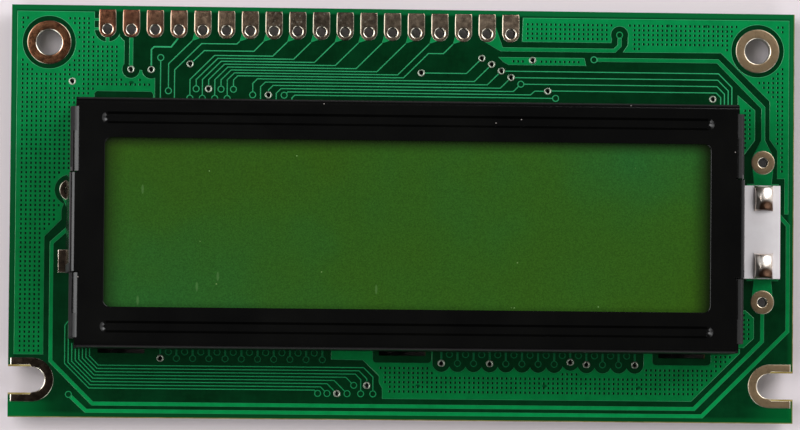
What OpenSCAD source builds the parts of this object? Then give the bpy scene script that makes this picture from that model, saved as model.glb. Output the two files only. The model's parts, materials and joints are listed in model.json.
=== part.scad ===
// Graphic display module. A green board carries a black folded bezel, and the lit
// glass cell shows through the bezel's window. A row of pin pads runs along the top edge.
// Sizes are in millimetres. X runs along the board, Y toward the pin row, Z out of the window.

/* [Board] */
// Board length along X
board_w = 84; // [78:0.5:100]
// Board height along Y
board_h = 44; // [40:0.5:60]
// Board thickness
board_t = 1.6; // [0.8:0.1:2.4]
// Thickness of copper with its coating above the board
copper_t = 0.05; // [0.04:0.01:0.08]
// Wall thickness of the plating inside holes
plate_t = 0.05; // [0.03:0.01:0.08]

/* [Corner holes and slots] */
// Distance of the corner holes and slots from the board edges
hole_inset = 4; // [3:0.1:5]
// Finished diameter of the corner holes
hole_d = 2.7; // [2:0.1:3.5]
// Outer diameter of the tinned rings and slot pads
ring_d = 4.7; // [4:0.1:5.6]
// Width of the coated clearance around the tinned rings
ring_gap = 0.5; // [0.2:0.05:0.8]
// Finished width of the open slots in the lower corners
slot_w = 2.7; // [2:0.1:3.5]
// Distance from the board edge to the centre of the slot's round end
slot_in = 2.5; // [1.5:0.1:3.5]
// Strip left bare between the slot pads and the board edge
slot_edge = 0.25; // [0.1:0.05:0.5]

/* [Pin row] */
// Number of pin pads
pin_count = 18; // [17:1:20]
// Pin pitch
pin_pitch = 2.54; // [2.3:0.01:2.8]
// Distance of the first pin from the left board edge
pin_first = 10.2; // [9:0.1:12]
// Distance of the pin holes from the top board edge
pin_in = 2.5; // [2:0.1:3]
// Finished diameter of the pin holes
pin_hole_d = 1.0; // [0.7:0.05:1.3]
// Width of a pin pad
pad_w = 1.85; // [1.5:0.05:2.1]
// Distance of the square pad end from the top board edge
pad_edge = 0.4; // [0.1:0.05:1]

/* [Bezel] */
// Distance of the bezel from the short board edges
bezel_side = 6.35; // [5:0.05:9]
// Distance of the bezel from the top board edge
bezel_above = 10.35; // [9:0.05:14]
// Distance of the bezel from the bottom board edge
bezel_below = 7.35; // [6.5:0.05:10]
// Height of the bezel face above the board
bezel_rise = 9; // [7:0.1:12]
// Sheet thickness
sheet_t = 0.5; // [0.3:0.05:0.8]
// Border beside the window along the short sides
window_side = 3.65; // [3:0.05:8]
// Border beside the window along the long sides
window_long = 4.25; // [4:0.05:7]
// Window corner radius
window_r = 0.7; // [0.3:0.1:2]
// Inside bend radius along the short sides
bend_side = 0.5; // [0.2:0.05:1]
// Inside bend radius along the long sides and the middle flaps
bend_long = 0.1; // [0.05:0.05:0.4]
// Relief left at each corner along X
notch_x = 0.6; // [0.3:0.1:1]
// Relief left at each corner beyond the long bends
notch_more = 0.4; // [0.2:0.05:1]
// Gap between the bezel walls and the board
wall_lift = 0.15; // [0.1:0.01:0.4]
// Room beside the tail under the middle flap
flap_gap = 0.2; // [0.1:0.05:0.6]
// Room above the tail under the middle flap
flap_lift = 0.3; // [0.1:0.05:1]
// How far the middle flaps stand outside the short walls at their bends
flap_out = 0.05; // [0:0.01:0.3]
// Angle by which the middle flaps lean outward
flap_lean = 2.5; // [0:0.1:5]
// Slit beside the middle flaps
flap_slit = 0.15; // [0.1:0.05:0.5]
// Width of the pressed grooves at the face
groove_w = 1.25; // [0.9:0.05:1.5]
// Width of the groove floor
groove_floor = 0.75; // [0.4:0.05:0.85]
// Groove depth, with the front film as thick below it
groove_depth = 0.3; // [0.15:0.05:0.5]
// Distance of the groove centres from the long bezel edges
groove_in = 2.15; // [1.7:0.05:2.6]
// Distance of the groove ends from the short bezel edges
groove_end = 3.3; // [2:0.1:10]
// Width of a holding tab
tab_w = 4.4; // [2.5:0.1:6]
// Distance of the outer tabs from the short bezel edges
tab_in = 5.65; // [4:0.05:12]
// Clearance of a tab in its board slot along X
tab_gap_x = 0.3; // [0.1:0.05:0.6]
// Clearance of a tab in its board slot along Y
tab_gap_y = 0.45; // [0.1:0.05:0.6]
// Height of the twisted tab ends above the resting plane
tab_clear = 0.4; // [0.2:0.05:0.8]
// Shoulder on each side of a twisted tab end
tab_shoulder = 0.4; // [0.2:0.05:0.8]
// Twist angle of the tab ends
tab_twist = 35; // [15:1:60]

/* [Glass cell] */
// Thickness of each glass sheet
glass_t = 1.1; // [0.5:0.1:1.5]
// Gap between the glass and the bezel walls
glass_gap = 0.25; // [0.1:0.05:0.6]
// Thickness of the rear film
rear_film_t = 0.2; // [0.1:0.05:0.4]
// Overlap of the front film beyond the window ends
film_lap = 1; // [0.4:0.1:2]
// Gap between the front film and the pressed grooves
film_gap = 0.475; // [0.2:0.025:1]
// Width of each rubber contact strip
strip_w = 1.6; // [1:0.1:2.2]
// Gap between the contact strips and the long bezel walls
strip_gap = 0.65; // [0.5:0.05:1]
// Distance of the strip ends from the short bezel walls
strip_end = 2; // [1.5:0.1:6]

/* [Backlight] */
// Thickness of the white light board
light_t = 0.9; // [0.6:0.05:1.6]
// Gap between the light unit and the contact strips
light_gap = 0.3; // [0.1:0.05:1]
// Gap between the light unit and the short bezel walls
light_end = 0.95; // [0.8:0.05:3]
// Wall thickness of the white frame
light_wall = 1.6; // [0.8:0.1:2.5]
// Thickness of the diffuser plate
diffuser_t = 1; // [0.5:0.1:2]
// Number of light chips in each row
chip_cols = 12; // [4:1:16]
// Distance between the rows of light chips
chip_row = 8; // [4:0.5:12]
// Length of a light chip
chip_l = 1.6; // [1:0.1:2]
// Width of a light chip
chip_w = 0.8; // [0.5:0.05:1.3]
// Height of a light chip
chip_t = 0.6; // [0.3:0.05:1]
// Distance of the outer light chips from the frame
chip_end = 2; // [1.5:0.1:5]
// Width of the soldered tail along Y
tail_w = 10; // [8:0.1:12]
// Reach of the tail beyond the bezel
tail_out = 4.8; // [4.4:0.05:5]
// Length of the coated bars at the tail's ends
bar_l = 3.4; // [2.5:0.1:4]
// Width of the coated bars at the tail's ends
bar_w = 0.4; // [0.2:0.05:0.6]
// Distance of the solder joints from the bezel
joint_x = 3; // [2:0.05:3.4]
// Length of a solder joint along X
joint_w = 2.05; // [1.5:0.05:2.4]
// Length of a solder joint along Y
joint_l = 2.75; // [2:0.05:3.2]
// Height of a solder joint
joint_h = 0.9; // [0.5:0.05:1.2]
// Radius of the domed top of a solder joint
joint_dome = 2.4; // [2:0.05:4]
// Distance of the supply holes from the tail
supply_off = 2.5; // [2:0.05:3.5]
// Finished diameter of the supply holes
supply_d = 1; // [0.7:0.05:1.4]
// Outer diameter of the supply pads
supply_pad = 2.56; // [2:0.02:3]
// Outer diameter of the spare ring pad on the left
spare_ring_d = 2.3; // [1.8:0.05:2.8]
// Distance of the spare ring pad above the middle of the bezel
spare_up = 3.75; // [3:0.05:4.5]
// Side of the spare square pad on the left
spare_bar_w = 2.45; // [1.5:0.05:3]
// Distance of the spare square pad below the middle of the bezel
spare_down = 3.85; // [3.5:0.05:5]

/* [Back side] */
// Height of the chip drops below the board
drop_h = 1.6; // [1.2:0.1:2.5]
// Diameter of the chip drops at the board
drop_d = 16; // [12:0.5:20]
// Height that the resting flat takes off a chip drop
drop_flat = 0.6; // [0.3:0.05:1]
// Distance between the chip drops
drop_pitch = 34; // [28:0.5:44]
// Length of a chip part
part_l = 2; // [1.6:0.1:2.4]
// Width of a chip part
part_w = 1.25; // [0.8:0.05:1.6]
// Height of a chip resistor
resistor_t = 0.55; // [0.3:0.05:0.8]
// Distance between chip resistors
resistor_pitch = 3; // [2:0.1:3.4]
// Distance of the resistor row above the middle of the drops
resistor_up = 8.5; // [7:0.1:10]
// Height of a chip capacitor
capacitor_t = 0.9; // [0.5:0.05:1.2]
// Distance between chip capacitors
capacitor_pitch = 4; // [3:0.1:5]
// Distance of the capacitor row above the middle of the drops
capacitor_up = 4; // [2:0.1:5]

/* [Copper pattern] */
// Width of a signal track
track_w = 0.15; // [0.1:0.01:0.2]
// Width of a supply track
wide_w = 0.42; // [0.3:0.02:0.6]
// Outer diameter of an open via
via_d = 0.8; // [0.6:0.02:0.9]
// Hole diameter of an open via
via_hole_d = 0.42; // [0.2:0.02:0.5]
// Outer diameter of a covered via
cover_d = 0.78; // [0.6:0.02:0.9]
// Inner diameter of a covered via
cover_in = 0.5; // [0.3:0.02:0.56]
// Clearance of a fill around a via
via_clear = 0.55; // [0.3:0.05:0.8]
// Clearance of a fill around a supply track
fill_gap = 0.25; // [0.15:0.01:0.4]
// Distance of the fills from the board edges
fill_edge = 0.6; // [0.3:0.05:1]
// Distance between tracks of the upper bus
bus_pitch = 0.307; // [0.25:0.001:0.34]
// Distance between the left ends of the upper bus
bus_step = 0.664; // [0.55:0.002:0.72]
// Distance between tracks of the lower bus
low_pitch = 0.34; // [0.3:0.01:0.36]
// Distance between the left ends of the lower bus
low_step = 0.84; // [0.7:0.01:0.9]
// Distance between tracks of the bottom bus
foot_pitch = 0.35; // [0.3:0.01:0.38]
// Distance between the left ends of the bottom bus
foot_step = 0.378; // [0.3:0.002:0.42]
// Distance between the vias of the bottom rows
row_pitch = 1.73; // [1.5:0.01:1.8]

/* [Hidden] */
$fn = 48;
L = -board_w / 2;
R = board_w / 2;
T = board_h / 2;
B = -board_h / 2;
// Heights, from the lowest point of the chip drops upward
board_z = drop_h;
top_z = drop_h + board_t;
face_z = top_z + bezel_rise;
sheet_z = face_z - sheet_t;
front_film_t = groove_depth;
// The ball-shaped groove ends stay a little shallower than the floor
ball_depth = 0.85 * groove_depth;
tab_end = board_z - tab_clear;
front_glass_z = sheet_z - front_film_t - glass_t;
rear_glass_z = front_glass_z - glass_t;
rear_film_z = rear_glass_z - rear_film_t;
diffuser_z = rear_film_z - diffuser_t;
light_z = top_z + copper_t;
frame_z = light_z + light_t;
// Bezel edges and bends
bezel_w = board_w - 2 * bezel_side;
bezel_h = board_h - bezel_above - bezel_below;
bezel_y = (bezel_below - bezel_above) / 2;
bx = bezel_w / 2;
by = bezel_h / 2;
bezel_top = bezel_y + by;
bezel_bot = bezel_y - by;
window_w = bezel_w - 2 * window_side;
window_h = bezel_h - 2 * window_long;
side_r = sheet_t + bend_side;
long_r = sheet_t + bend_long;
inner_w = bezel_w - 2 * sheet_t;
inner_h = bezel_h - 2 * sheet_t;
notch_y = long_r + notch_more;
flap_len = tail_w + 2 * flap_gap;
flap_base = frame_z + flap_lift;
// Films, strips and light unit inside the bezel
film_w = window_w + 2 * film_lap;
film_h = bezel_h - 2 * groove_in - groove_w - 2 * film_gap;
light_w = inner_w - 2 * light_end;
light_h = inner_h - 2 * (strip_gap + strip_w + light_gap);
// Length of copper that runs on under the bezel
hide = 0.6;
// Pins, corners and backlight supply
pin_x0 = L + pin_first;
pin_y = T - pin_in;
corner_x = R - hole_inset;
corner_y = T - hole_inset;
slot_x = R - slot_in;
slot_y = -corner_y;
tail_x = bx + tail_out;
supply_x = bx + joint_x;
supply_reach = tail_w / 2 + supply_off;
supply_y = [bezel_y + supply_reach, bezel_y - supply_reach];
joint_y = [bezel_y + tail_w / 2 - joint_l / 2, bezel_y - tail_w / 2 + joint_l / 2];
spare_ring = [-bx + 0.05, bezel_y + spare_up];
spare_bar = [-bx + 0.05, bezel_y - spare_down];
tab_x = bx - tab_in;
tabs = [-tab_x, 0, tab_x];
via_keep = via_d + 2 * via_clear;
// Room of the fills around a tab slot: beside the slot, out from the bezel, and at its corners
room_side = 0.65;
room_out = 1.1;
room_r = 0.4;

// Place of pin number i, counted from 1
function pin(i) = [pin_x0 + (i - 1) * pin_pitch, pin_y];
// Direction helpers for strips of constant width
function unit(v) = v / norm(v);
function perp(v) = [-v[1], v[0]];
// Offset of a strip's edge at point i of a path
function side(p, i, w) =
    let (n = len(p))
    let (a = i > 0 ? unit(p[i] - p[i - 1]) : unit(p[1] - p[0]))
    let (b = i < n - 1 ? unit(p[i + 1] - p[i]) : a)
    let (m = unit(perp(a) + perp(b)))
    m * (w / 2 / (m * perp(a)));

// A strip of width w along the path p
module strip(p, w) {
    near = [for (i = [0 : len(p) - 1]) p[i] + side(p, i, w)];
    far = [for (i = [len(p) - 1 : -1 : 0]) p[i] - side(p, i, w)];
    polygon(concat(near, far));
}

// A flat ring
module ring(at, d, inner) {
    translate(at) difference() {
        circle(d = d);
        circle(d = inner);
    }
}

// A flat rectangle centred on a point
module plate(at, w, h) {
    translate(at) square([w, h], center = true);
}

// A plate with round corners
module soft_plate(at, w, h, r) {
    plate(at, w - 2 * r, h);
    plate(at, w, h - 2 * r);
    for (x = [-1, 1])
        for (y = [-1, 1])
            translate(at + [x * (w / 2 - r), y * (h / 2 - r)]) circle(r = r);
}

// First and last pin, from which the upper copper is measured
P = pin_x0;
Q = pin(pin_count)[0];
// Places of the bus ends along the top: eight tracks from the pins, six below them
bus_n = 8;
function bus_x(k) = P + 8.85 + bus_step * k;
function bus_y(k) = T - 5.2 - bus_pitch * k;
low_n = 6;
function low_x(j) = P + 15.56 + low_step * j;
function low_y(j) = T - 7.65 - low_pitch * j;
function step_via(j) = [Q - 2.03 + 1.05 * j, T - 5.8 - 0.69 * j];
// Places of the bottom bus and the two bottom via rows
foot_n = 8;
function foot_x(i) = -bx + 2.3 - foot_step * i;
function foot_y(i) = B + 5.6 - foot_pitch * i;
foot_ends = [[-3.1, B + 2.8], [-3.75, B + 3.7], [-4.4, B + 2.8], [-5.15, B + 3.7],
             [-5.85, B + 2.8], [-6.95, B + 2.8], [-8, B + 2.8], [-9, B + 2.8]];
foot_drop = [1.8, 0.7, 1.5, 0, 0, 0, 0, 0];
row_a_n = 11;
function row_a(i) = [-25.83 + row_pitch * i, B + 6.4];
row_b_n = 13;
function row_b(i) = [4.2 + row_pitch * i, B + (i == 8 ? 6.4 : 6.15)];
// Vias between those rows and the bezel, half a step along
function row_c(v) = [v[0] + row_pitch / 2, bezel_bot - 0.25];
// Vias that tracks and fills refer to by name
via_2 = [pin(2)[0], T - 6.8];
via_4 = [P + 4.7, T - 6.8];
via_17 = [Q + 11.72, T - 2.45];
via_up = [Q + 8.97, T - 5.15];
via_low = [L + 6.45, B + 2.45];

// Vias left open and tinned
open_vias = concat(
    [[L + 6.5, T - 8.15], via_2, via_4, [bus_x(0), T - 6.15],
     [bus_x(3), T - 8.8], [low_x(2), T - 9.37], [Q - 9.58, T - 6.8], [Q - 3.08, T - 5.15],
     [Q + 2.37, T - 5.3], [Q + 4.02, T - 8.6], [R - 8.8, T - 9.25]],
    [for (j = [0 : 2]) step_via(j)],
    [foot_ends[1], foot_ends[5], row_a(0)],
    [for (i = [0, 3, 8, 9, 12]) row_b(i)]);

// Vias closed by the coating
covered_vias = concat(
    [[P + 5.7, T - 5.5], [P + 6.55, T - 9.05], [Q + 4.87, low_y(5)]],
    [via_up, via_17, via_low, step_via(3)],
    [for (k = [1, 5, 7]) [bus_x(k), T - 8.8]],
    [for (k = [0, 2, 4, 6]) [bus_x(k), T - 9.8]],
    [for (j = [0, 4]) [low_x(j), T - 9.37]],
    [for (i = [0, 2, 3, 4, 6, 7]) foot_ends[i]],
    [for (i = [1 : row_a_n - 1]) row_a(i)],
    [for (i = [1, 2, 4, 5, 6, 7, 10, 11]) row_b(i)],
    [for (i = [0 : row_a_n - 2]) row_c(row_a(i))],
    [for (i = [0 : row_b_n - 2]) row_c(row_b(i))]);

// Outline of one pin pad
module pad_shape(at) {
    translate(at) union() {
        circle(d = pad_w);
        translate([-pad_w / 2, 0]) square([pad_w, pin_in - pad_edge]);
    }
}

// Outline of the slot in one lower corner, s = -1 left and 1 right
module slot_shape(s, w) {
    translate([s * slot_x, slot_y]) union() {
        circle(d = w);
        translate([s * (slot_in / 2 + 0.5), 0]) square([slot_in + 1, w], center = true);
    }
}

// Outline of the plated pad around that slot
module slot_pad_shape(s) {
    reach = slot_in - slot_edge;
    translate([s * slot_x, slot_y]) union() {
        circle(d = ring_d);
        translate([s * reach / 2, 0]) square([reach, ring_d], center = true);
    }
}

// Board slots for the holding tabs
module tab_slots(grow) {
    for (x = tabs)
        for (s = [-1, 1])
            plate([x, bezel_y + s * (by - sheet_t / 2)],
                  tab_w + 2 * tab_gap_x + 2 * grow, sheet_t + 2 * tab_gap_y + 2 * grow);
}

// Everything in the plane that copper strips and fills stay out of
module bare_metal() {
    for (i = [1 : pin_count])
        pad_shape(pin(i));
    for (v = open_vias)
        translate(v) circle(d = via_d);
    for (s = [-1, 1]) {
        translate([s * corner_x, corner_y]) circle(d = ring_d);
        slot_pad_shape(s);
    }
    for (y = supply_y)
        translate([supply_x, y]) circle(d = supply_pad);
    translate(spare_ring) circle(d = spare_ring_d);
    tab_slots(0.1);
}

module pcb() {
    color([0.02, 0.3, 0.15])
    translate([0, 0, board_z])
    linear_extrude(board_t)
    difference() {
        square([board_w, board_h], center = true);
        for (s = [-1, 1]) {
            translate([s * corner_x, corner_y]) circle(d = hole_d + 2 * plate_t);
            slot_shape(s, slot_w + 2 * plate_t);
        }
        for (i = [1 : pin_count])
            translate(pin(i)) circle(d = pin_hole_d + 2 * plate_t);
        for (y = supply_y)
            translate([supply_x, y]) circle(d = supply_d + 2 * plate_t);
        translate(spare_ring) circle(d = supply_d + 2 * plate_t);
        for (v = open_vias)
            translate(v) circle(d = via_hole_d + 2 * plate_t);
        tab_slots(0);
    }
}

// A plated hole: a flat pad on both faces and a tube between them
module plated(at, hole) {
    translate([0, 0, top_z]) linear_extrude(copper_t) difference() {
        children();
        translate(at) circle(d = hole);
    }
    translate([0, 0, board_z - copper_t]) linear_extrude(copper_t) difference() {
        children();
        translate(at) circle(d = hole);
    }
    translate([at[0], at[1], board_z]) linear_extrude(board_t) difference() {
        circle(d = hole + 2 * plate_t);
        circle(d = hole);
    }
}

module interface_pads() {
    color([0.6, 0.52, 0.47])
    for (i = [1 : pin_count])
        plated(pin(i), pin_hole_d) pad_shape(pin(i));
}

module mounting_rings() {
    color([0.62, 0.54, 0.48])
    for (s = [-1, 1])
        plated([s * corner_x, corner_y], hole_d)
            translate([s * corner_x, corner_y]) circle(d = ring_d);
}

module slot_pads() {
    color([0.62, 0.54, 0.48])
    for (s = [-1, 1]) {
        for (z = [top_z, board_z - copper_t])
            translate([0, 0, z]) linear_extrude(copper_t) difference() {
                slot_pad_shape(s);
                slot_shape(s, slot_w);
            }
        translate([0, 0, board_z]) linear_extrude(board_t) difference() {
            intersection() {
                slot_shape(s, slot_w + 2 * plate_t);
                slot_pad_shape(s);
            }
            slot_shape(s, slot_w);
        }
    }
}

// Ring pads for the backlight supply, above and below the tail
module supply_pads() {
    color([0.62, 0.54, 0.48])
    for (y = supply_y)
        plated([supply_x, y], supply_d)
            translate([supply_x, y]) circle(d = supply_pad);
}

// Pads at the left that stay unused here, half under the bezel
module spare_pads() {
    color([0.5, 0.42, 0.36])
    union() {
        plated(spare_ring, supply_d)
            translate(spare_ring) circle(d = spare_ring_d);
        translate([0, 0, top_z]) linear_extrude(copper_t)
            plate(spare_bar, spare_bar_w, spare_bar_w);
    }
}

module via_rings() {
    color([0.75, 0.73, 0.68])
    for (v = open_vias)
        plated(v, via_hole_d)
            translate(v) circle(d = via_d);
}

// Web that joins a track to the lower left of a pin pad
module web(i) {
    p = pin(i);
    polygon([p + [-pad_w / 2 + 0.02, -0.25], p + [-1.16, -1.2], p + [-0.2, -0.86]]);
}

// Tracks that leave the pin pads
module pin_tracks() {
    for (i = [5, 7, 8])
        web(i);
    // Pin 4 to its via
    strip([pin(4) + [0, -0.8], [P + 6.8, T - 4.35], [P + 5, T - 4.35], [P + 4.7, T - 4.65], via_4],
          track_w + 0.05);
    // Pins 5, 7 and 8
    strip([pin(5) + [-1.1, -1.15], [P + 6.55, T - 6.15], [P + 6.55, T - 8.75]], track_w);
    strip([pin(7) + [-1.1, -1.15], [P + 13.8, T - 3.95], [P + 10.05, T - 3.95], [P + 7.2, T - 6.8],
           [P + 7.2, bezel_top - hide]], track_w);
    strip([pin(8) + [-1.1, -1.15], [P + 15.65, T - 4.7], [P + 10.35, T - 4.7],
           [bus_x(0), T - 6.15]], track_w);
    // The next seven pins run into the upper bus
    for (k = [0 : bus_n - 2]) {
        p = pin(9 + k) + [-1.1, -1.15];
        y = bus_y(k);
        x = bus_x(k);
        foot = k % 2 == 0 ? T - 9.5 : T - 8.5;
        web(9 + k);
        strip([p, [p[0] - p[1] + y, y], [x + y - T + 7.8, y], [x, T - 7.8], [x, foot]], track_w);
    }
    // The last of them steps aside before it joins the bus
    p = pin(9 + bus_n - 1) + [-1.1, -1.15];
    y = bus_y(bus_n - 1);
    x = bus_x(bus_n - 1);
    step = T - 4.7;
    web(9 + bus_n - 1);
    strip([p, [p[0] - p[1] + step, step], [p[0] - p[1] + step - 1.6, step],
           [p[0] - p[1] - 1.6 + y, y], [x + y - T + 7.8, y], [x, T - 7.8], [x, T - 8.5]], track_w);
}

// Tracks of the lower bus and their way to the right
module side_tracks() {
    for (j = [0 : low_n - 1]) {
        x = low_x(j);
        y = low_y(j);
        v = step_via(j);
        foot = j % 2 == 0 ? T - 9.1 : bezel_top - hide;
        bend = j < 4 ? 0.5 : 0.3;
        from = j == 4 ? [[x + 0.2, T - 9.2], [x + 0.4, y]] : [[x, foot], [x, y - bend], [x + bend, y]];
        to = j < 4 ? [[v[0] - v[1] + y, y], v - [0.2, 0.2]]
                   : (j == 4 ? [[Q + 2.17, y], [Q + 2.62, T - 8.6], [Q + 3.8, T - 8.6]] : [[Q + 4.57, y]]);
        strip(concat(from, to), track_w);
    }
    for (m = [0 : 3]) {
        y = T - 6.49 - 0.69 * m;
        x = R - 6.75 - 0.4 * m;
        d = 1.45 - 0.32 * m;
        first = m < 3 ? step_via(m + 1)[0] + 0.3 : Q + 4.2;
        strip([[first, y], [x - d, y], [x, y - d], [x, bezel_top - hide]], track_w);
    }
    strip([[Q - 9.3, T - 6.8], [Q - 4.73, T - 6.8], [Q - 3.08, T - 5.15]], track_w);
    strip([[P + 5.7, T - 5.8], [P + 5.7, bezel_top - hide]], track_w);
}

// Tracks of the bottom bus and the stubs of the bottom via rows
module foot_tracks() {
    for (i = [0 : foot_n - 1]) {
        x = foot_x(i);
        y = foot_y(i);
        turn = -bx + 3.25 - 0.143 * i;
        rise = turn - x;
        up = i < 6 ? [[x, bezel_bot + hide]]
                   : [[-bx + hide, bezel_bot + 3.65 - 0.6 * (7 - i)], [x, bezel_bot + 2.45]];
        e = foot_ends[i];
        drop = foot_drop[i];
        d = y - e[1] - drop;
        tail = drop > 0 ? [[e[0], y - d], [e[0], e[1] + 0.3]] : [e + [-0.25, 0.25]];
        strip(concat(up, [[x, y + rise], [turn, y], [e[0] - d, y]], tail), track_w);
    }
    for (i = [0 : row_a_n - 1])
        strip([row_a(i) + [0, 0.3], [row_a(i)[0], bezel_bot + hide]], track_w + 0.1);
    for (i = [0 : row_b_n - 1])
        strip([row_b(i) + [0, 0.3], [row_b(i)[0], bezel_bot + hide]], track_w + 0.1);
}

module signal_tracks() {
    color([0.2, 0.5, 0.36])
    translate([0, 0, top_z])
    linear_extrude(copper_t)
    difference() {
        union() {
            pin_tracks();
            side_tracks();
            foot_tracks();
            for (v = covered_vias)
                ring(v, cover_d, cover_in);
        }
        bare_metal();
        for (v = covered_vias)
            translate(v) circle(d = cover_in);
    }
}

// Wide tracks of the supply, widened by grow on each side
module supply_paths(grow) {
    up = supply_y[0];
    low = supply_y[1];
    w = wide_w + 2 * grow;
    p = pin(pin_count - 1);
    // Pin 2 to its via
    strip([pin(2) + [0, -0.7], via_2], w);
    // The last pin but one to the via above
    strip([[Q - 1.08, T - 4.15], [via_17[0] - 0.55, T - 4.15], [via_17[0], T - 3.6], via_17], w);
    polygon([p + [0.9, 0.8], [Q - 0.85, T - 4.15 + w / 2], [Q - 1.1, T - 4.15 - w / 2], p + [-0.4, -0.8]]);
    // Upper supply pad to its via at the top
    turn = R - 8.3;
    strip([via_up, [turn, via_up[1]], [supply_x, turn + via_up[1] - supply_x], [supply_x, up + 1.1]], w);
    polygon([[supply_x - 1.15, up + 0.6], [supply_x - w / 2, up + 2.4],
             [supply_x + w / 2, up + 2.4], [supply_x + 1.15, up + 0.6]]);
    // Tongues from the supply pads to the tail, each with a bar along the tail's end
    for (s = [-1, 1]) {
        far = bezel_y + s * (supply_reach - 0.4);
        out = bezel_y + s * (tail_w / 2 + bar_w / 2 + grow);
        under = bezel_y + s * (tail_w / 2 - bar_w / 2 - grow);
        half = s * (bar_l / 2 + grow);
        polygon([[supply_x + s * 1.15, far], [supply_x - s * 1.15, far], [supply_x - s * 0.95, out],
                 [supply_x - half, out], [supply_x - half, under], [supply_x + half, under],
                 [supply_x + half, out], [supply_x + s * 0.95, out]]);
    }
    // Neck of the spare ring pad
    polygon([spare_ring + [-0.8, -0.85], spare_ring + [0.5, -1.1],
             [-bx + hide, bezel_y + 0.75], [-bx - 0.02, bezel_y + 1.2]]);
    // Lower supply pad along the bottom to the left column
    strip([[supply_x, low - 1.1], [supply_x, low - 4.2], [supply_x + B + 5.7 - low, B + 1.5],
           [L + 9, B + 1.5], [L + 4.5, B + 6], [L + 4.5, bezel_y - 1.9], [-bx + hide, bezel_y + 0.3]], w);
    // Lowest track from the right edge to its via
    strip([[supply_x + 1.8, bezel_y + 1.8], [R - 0.62, bezel_y + 0.75], [R - 0.62, B + 9.9],
           [R - 9.8, B + 0.72], [L + 8.3, B + 0.72], via_low], w);
}

module supply_tracks() {
    color([0.05, 0.5, 0.3])
    translate([0, 0, top_z])
    linear_extrude(copper_t)
    difference() {
        supply_paths(0);
        bare_metal();
        for (v = [via_17, via_up, via_low])
            translate(v) circle(d = cover_d);
    }
}

// Room that the fills leave around the slot of one tab
module tab_room(x, s) {
    soft_plate([x, bezel_y + s * (by + 0.1)], tab_w + 2 * (tab_gap_x + room_side), 2 * room_out, room_r);
}

// Room that the fills leave around a via with its stub toward the bezel
module stub_room(v) {
    translate(v) circle(d = via_keep);
    translate([v[0] - via_keep / 2, v[1]]) square([via_keep, bezel_bot + 1 - v[1]]);
}

// Left column with the upper left corner
module left_fill() {
    difference() {
        polygon([[L + fill_edge, T - fill_edge - 0.1], [P - 1.4, T - fill_edge - 0.1], [P - 1.4, pin_y],
                 [P + 1.3, pin_y], [P + 1.3, pin_y - 0.8], [P + 1.8, pin_y - 1.3], [P + 1.8, T - 6.8],
                 [P + 5.1, T - 6.95], [P + 5.1, bezel_top - hide], [-bx + 0.7, bezel_top - hide],
                 [-bx + 0.7, bezel_y + 5.4], spare_ring, [-bx - 0.85, bezel_y + 1.7],
                 [-bx - 0.85, bezel_y + 0.6], [L + 3.7, bezel_y - 1.25],
                 [L + 3.7, slot_y + ring_d / 2 + 0.35], [L + fill_edge, slot_y + ring_d / 2 + 0.35]]);
        translate(pin(1)) circle(d = pad_w + 0.95);
        translate(via_2) circle(d = via_keep);
        translate(via_4) circle(d = via_keep + 0.1);
        translate(spare_ring) circle(d = spare_ring_d + 1);
        tab_room(-tab_x, 1);
    }
    // Short bridges from pin 1 to the fill around it
    for (y = [0, 1])
        plate([P - 1.2, pin_y + y], 0.8, 0.24);
    plate([P, pin_y - 1.2], 0.34, 0.6);
}

// Upper right corner with the right column
module right_fill() {
    difference() {
        polygon([[Q + 1.32, T - fill_edge - 0.15], [R - fill_edge, T - fill_edge - 0.1],
                 [R - fill_edge, bezel_y + 2], [R - fill_edge - 0.4, bezel_y + 2],
                 [R - fill_edge - 0.4, bezel_y + 5.8],
                 [R - fill_edge - 1.2, bezel_y + 5.8], [R - fill_edge - 1.2, bezel_y + 8.8],
                 [supply_x + 0.7, bezel_y + 10], [supply_x + 0.7, T - 9.4],
                 [supply_x - 4.6, T - 4.25], [via_17[0] + 0.4, T - 4.3], [via_17[0] + 0.9, T - 3.5],
                 [via_17[0] + 0.9, via_17[1]], [via_17[0] - 0.8, via_17[1]], [via_17[0] - 0.9, T - 3.3],
                 [Q + 1.22, T - 3.3]]);
        translate(via_17) circle(d = via_keep);
    }
    // Bar beside the upper bus
    polygon([[Q - 1.28, T - 5], [Q + 7.92, T - 5], [Q + 8.12, T - 5.8],
             [Q - 0.18, T - 5.8], [Q - 0.78, T - 5.5]]);
    // Two slips beside the right end of the bezel
    polygon([[bx + 0.25, T - 8.8], [supply_x - 0.9, T - 10.4], [supply_x - 0.9, bezel_y + 9.9],
             [supply_x - 2, bezel_y + 8.4], [bx + 0.25, bezel_y + 8.4]]);
    polygon([[bx + 0.25, bezel_y - 8.4], [supply_x - 1.8, bezel_y - 8.4], [supply_x - 0.9, bezel_y - 9.2],
             [supply_x - 0.9, bezel_y - 11.4], [supply_x - 2, bezel_y - 12.4], [bx + 0.25, bezel_y - 12.4]]);
}

// Fill below the bezel, on the right half
module foot_fill() {
    difference() {
        polygon([[-7.6, bezel_bot + hide], [-7.6, B + 6.45], [-4.2, B + 6.4], [-2.75, B + 5],
                 [-2.45, B + 4.7], [-2.45, B + 4], [-2.1, B + 3.4], [-2.1, B + 2.3],
                 [supply_x - 7.6, B + 2.3], [supply_x - 2.4, B + 7.5], [supply_x - 2.4, bezel_bot + hide]]);
        for (x = [0, tab_x])
            tab_room(x, -1);
        for (i = [0 : row_b_n - 1])
            stub_room(row_b(i));
    }
}

module ground_pour() {
    color([0.02, 0.55, 0.3])
    translate([0, 0, top_z])
    linear_extrude(copper_t)
    difference() {
        union() {
            left_fill();
            right_fill();
            foot_fill();
        }
        for (s = [-1, 1])
            translate([s * corner_x, corner_y]) circle(d = ring_d + 2 * ring_gap);
        supply_paths(fill_gap);
        bare_metal();
    }
}

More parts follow.
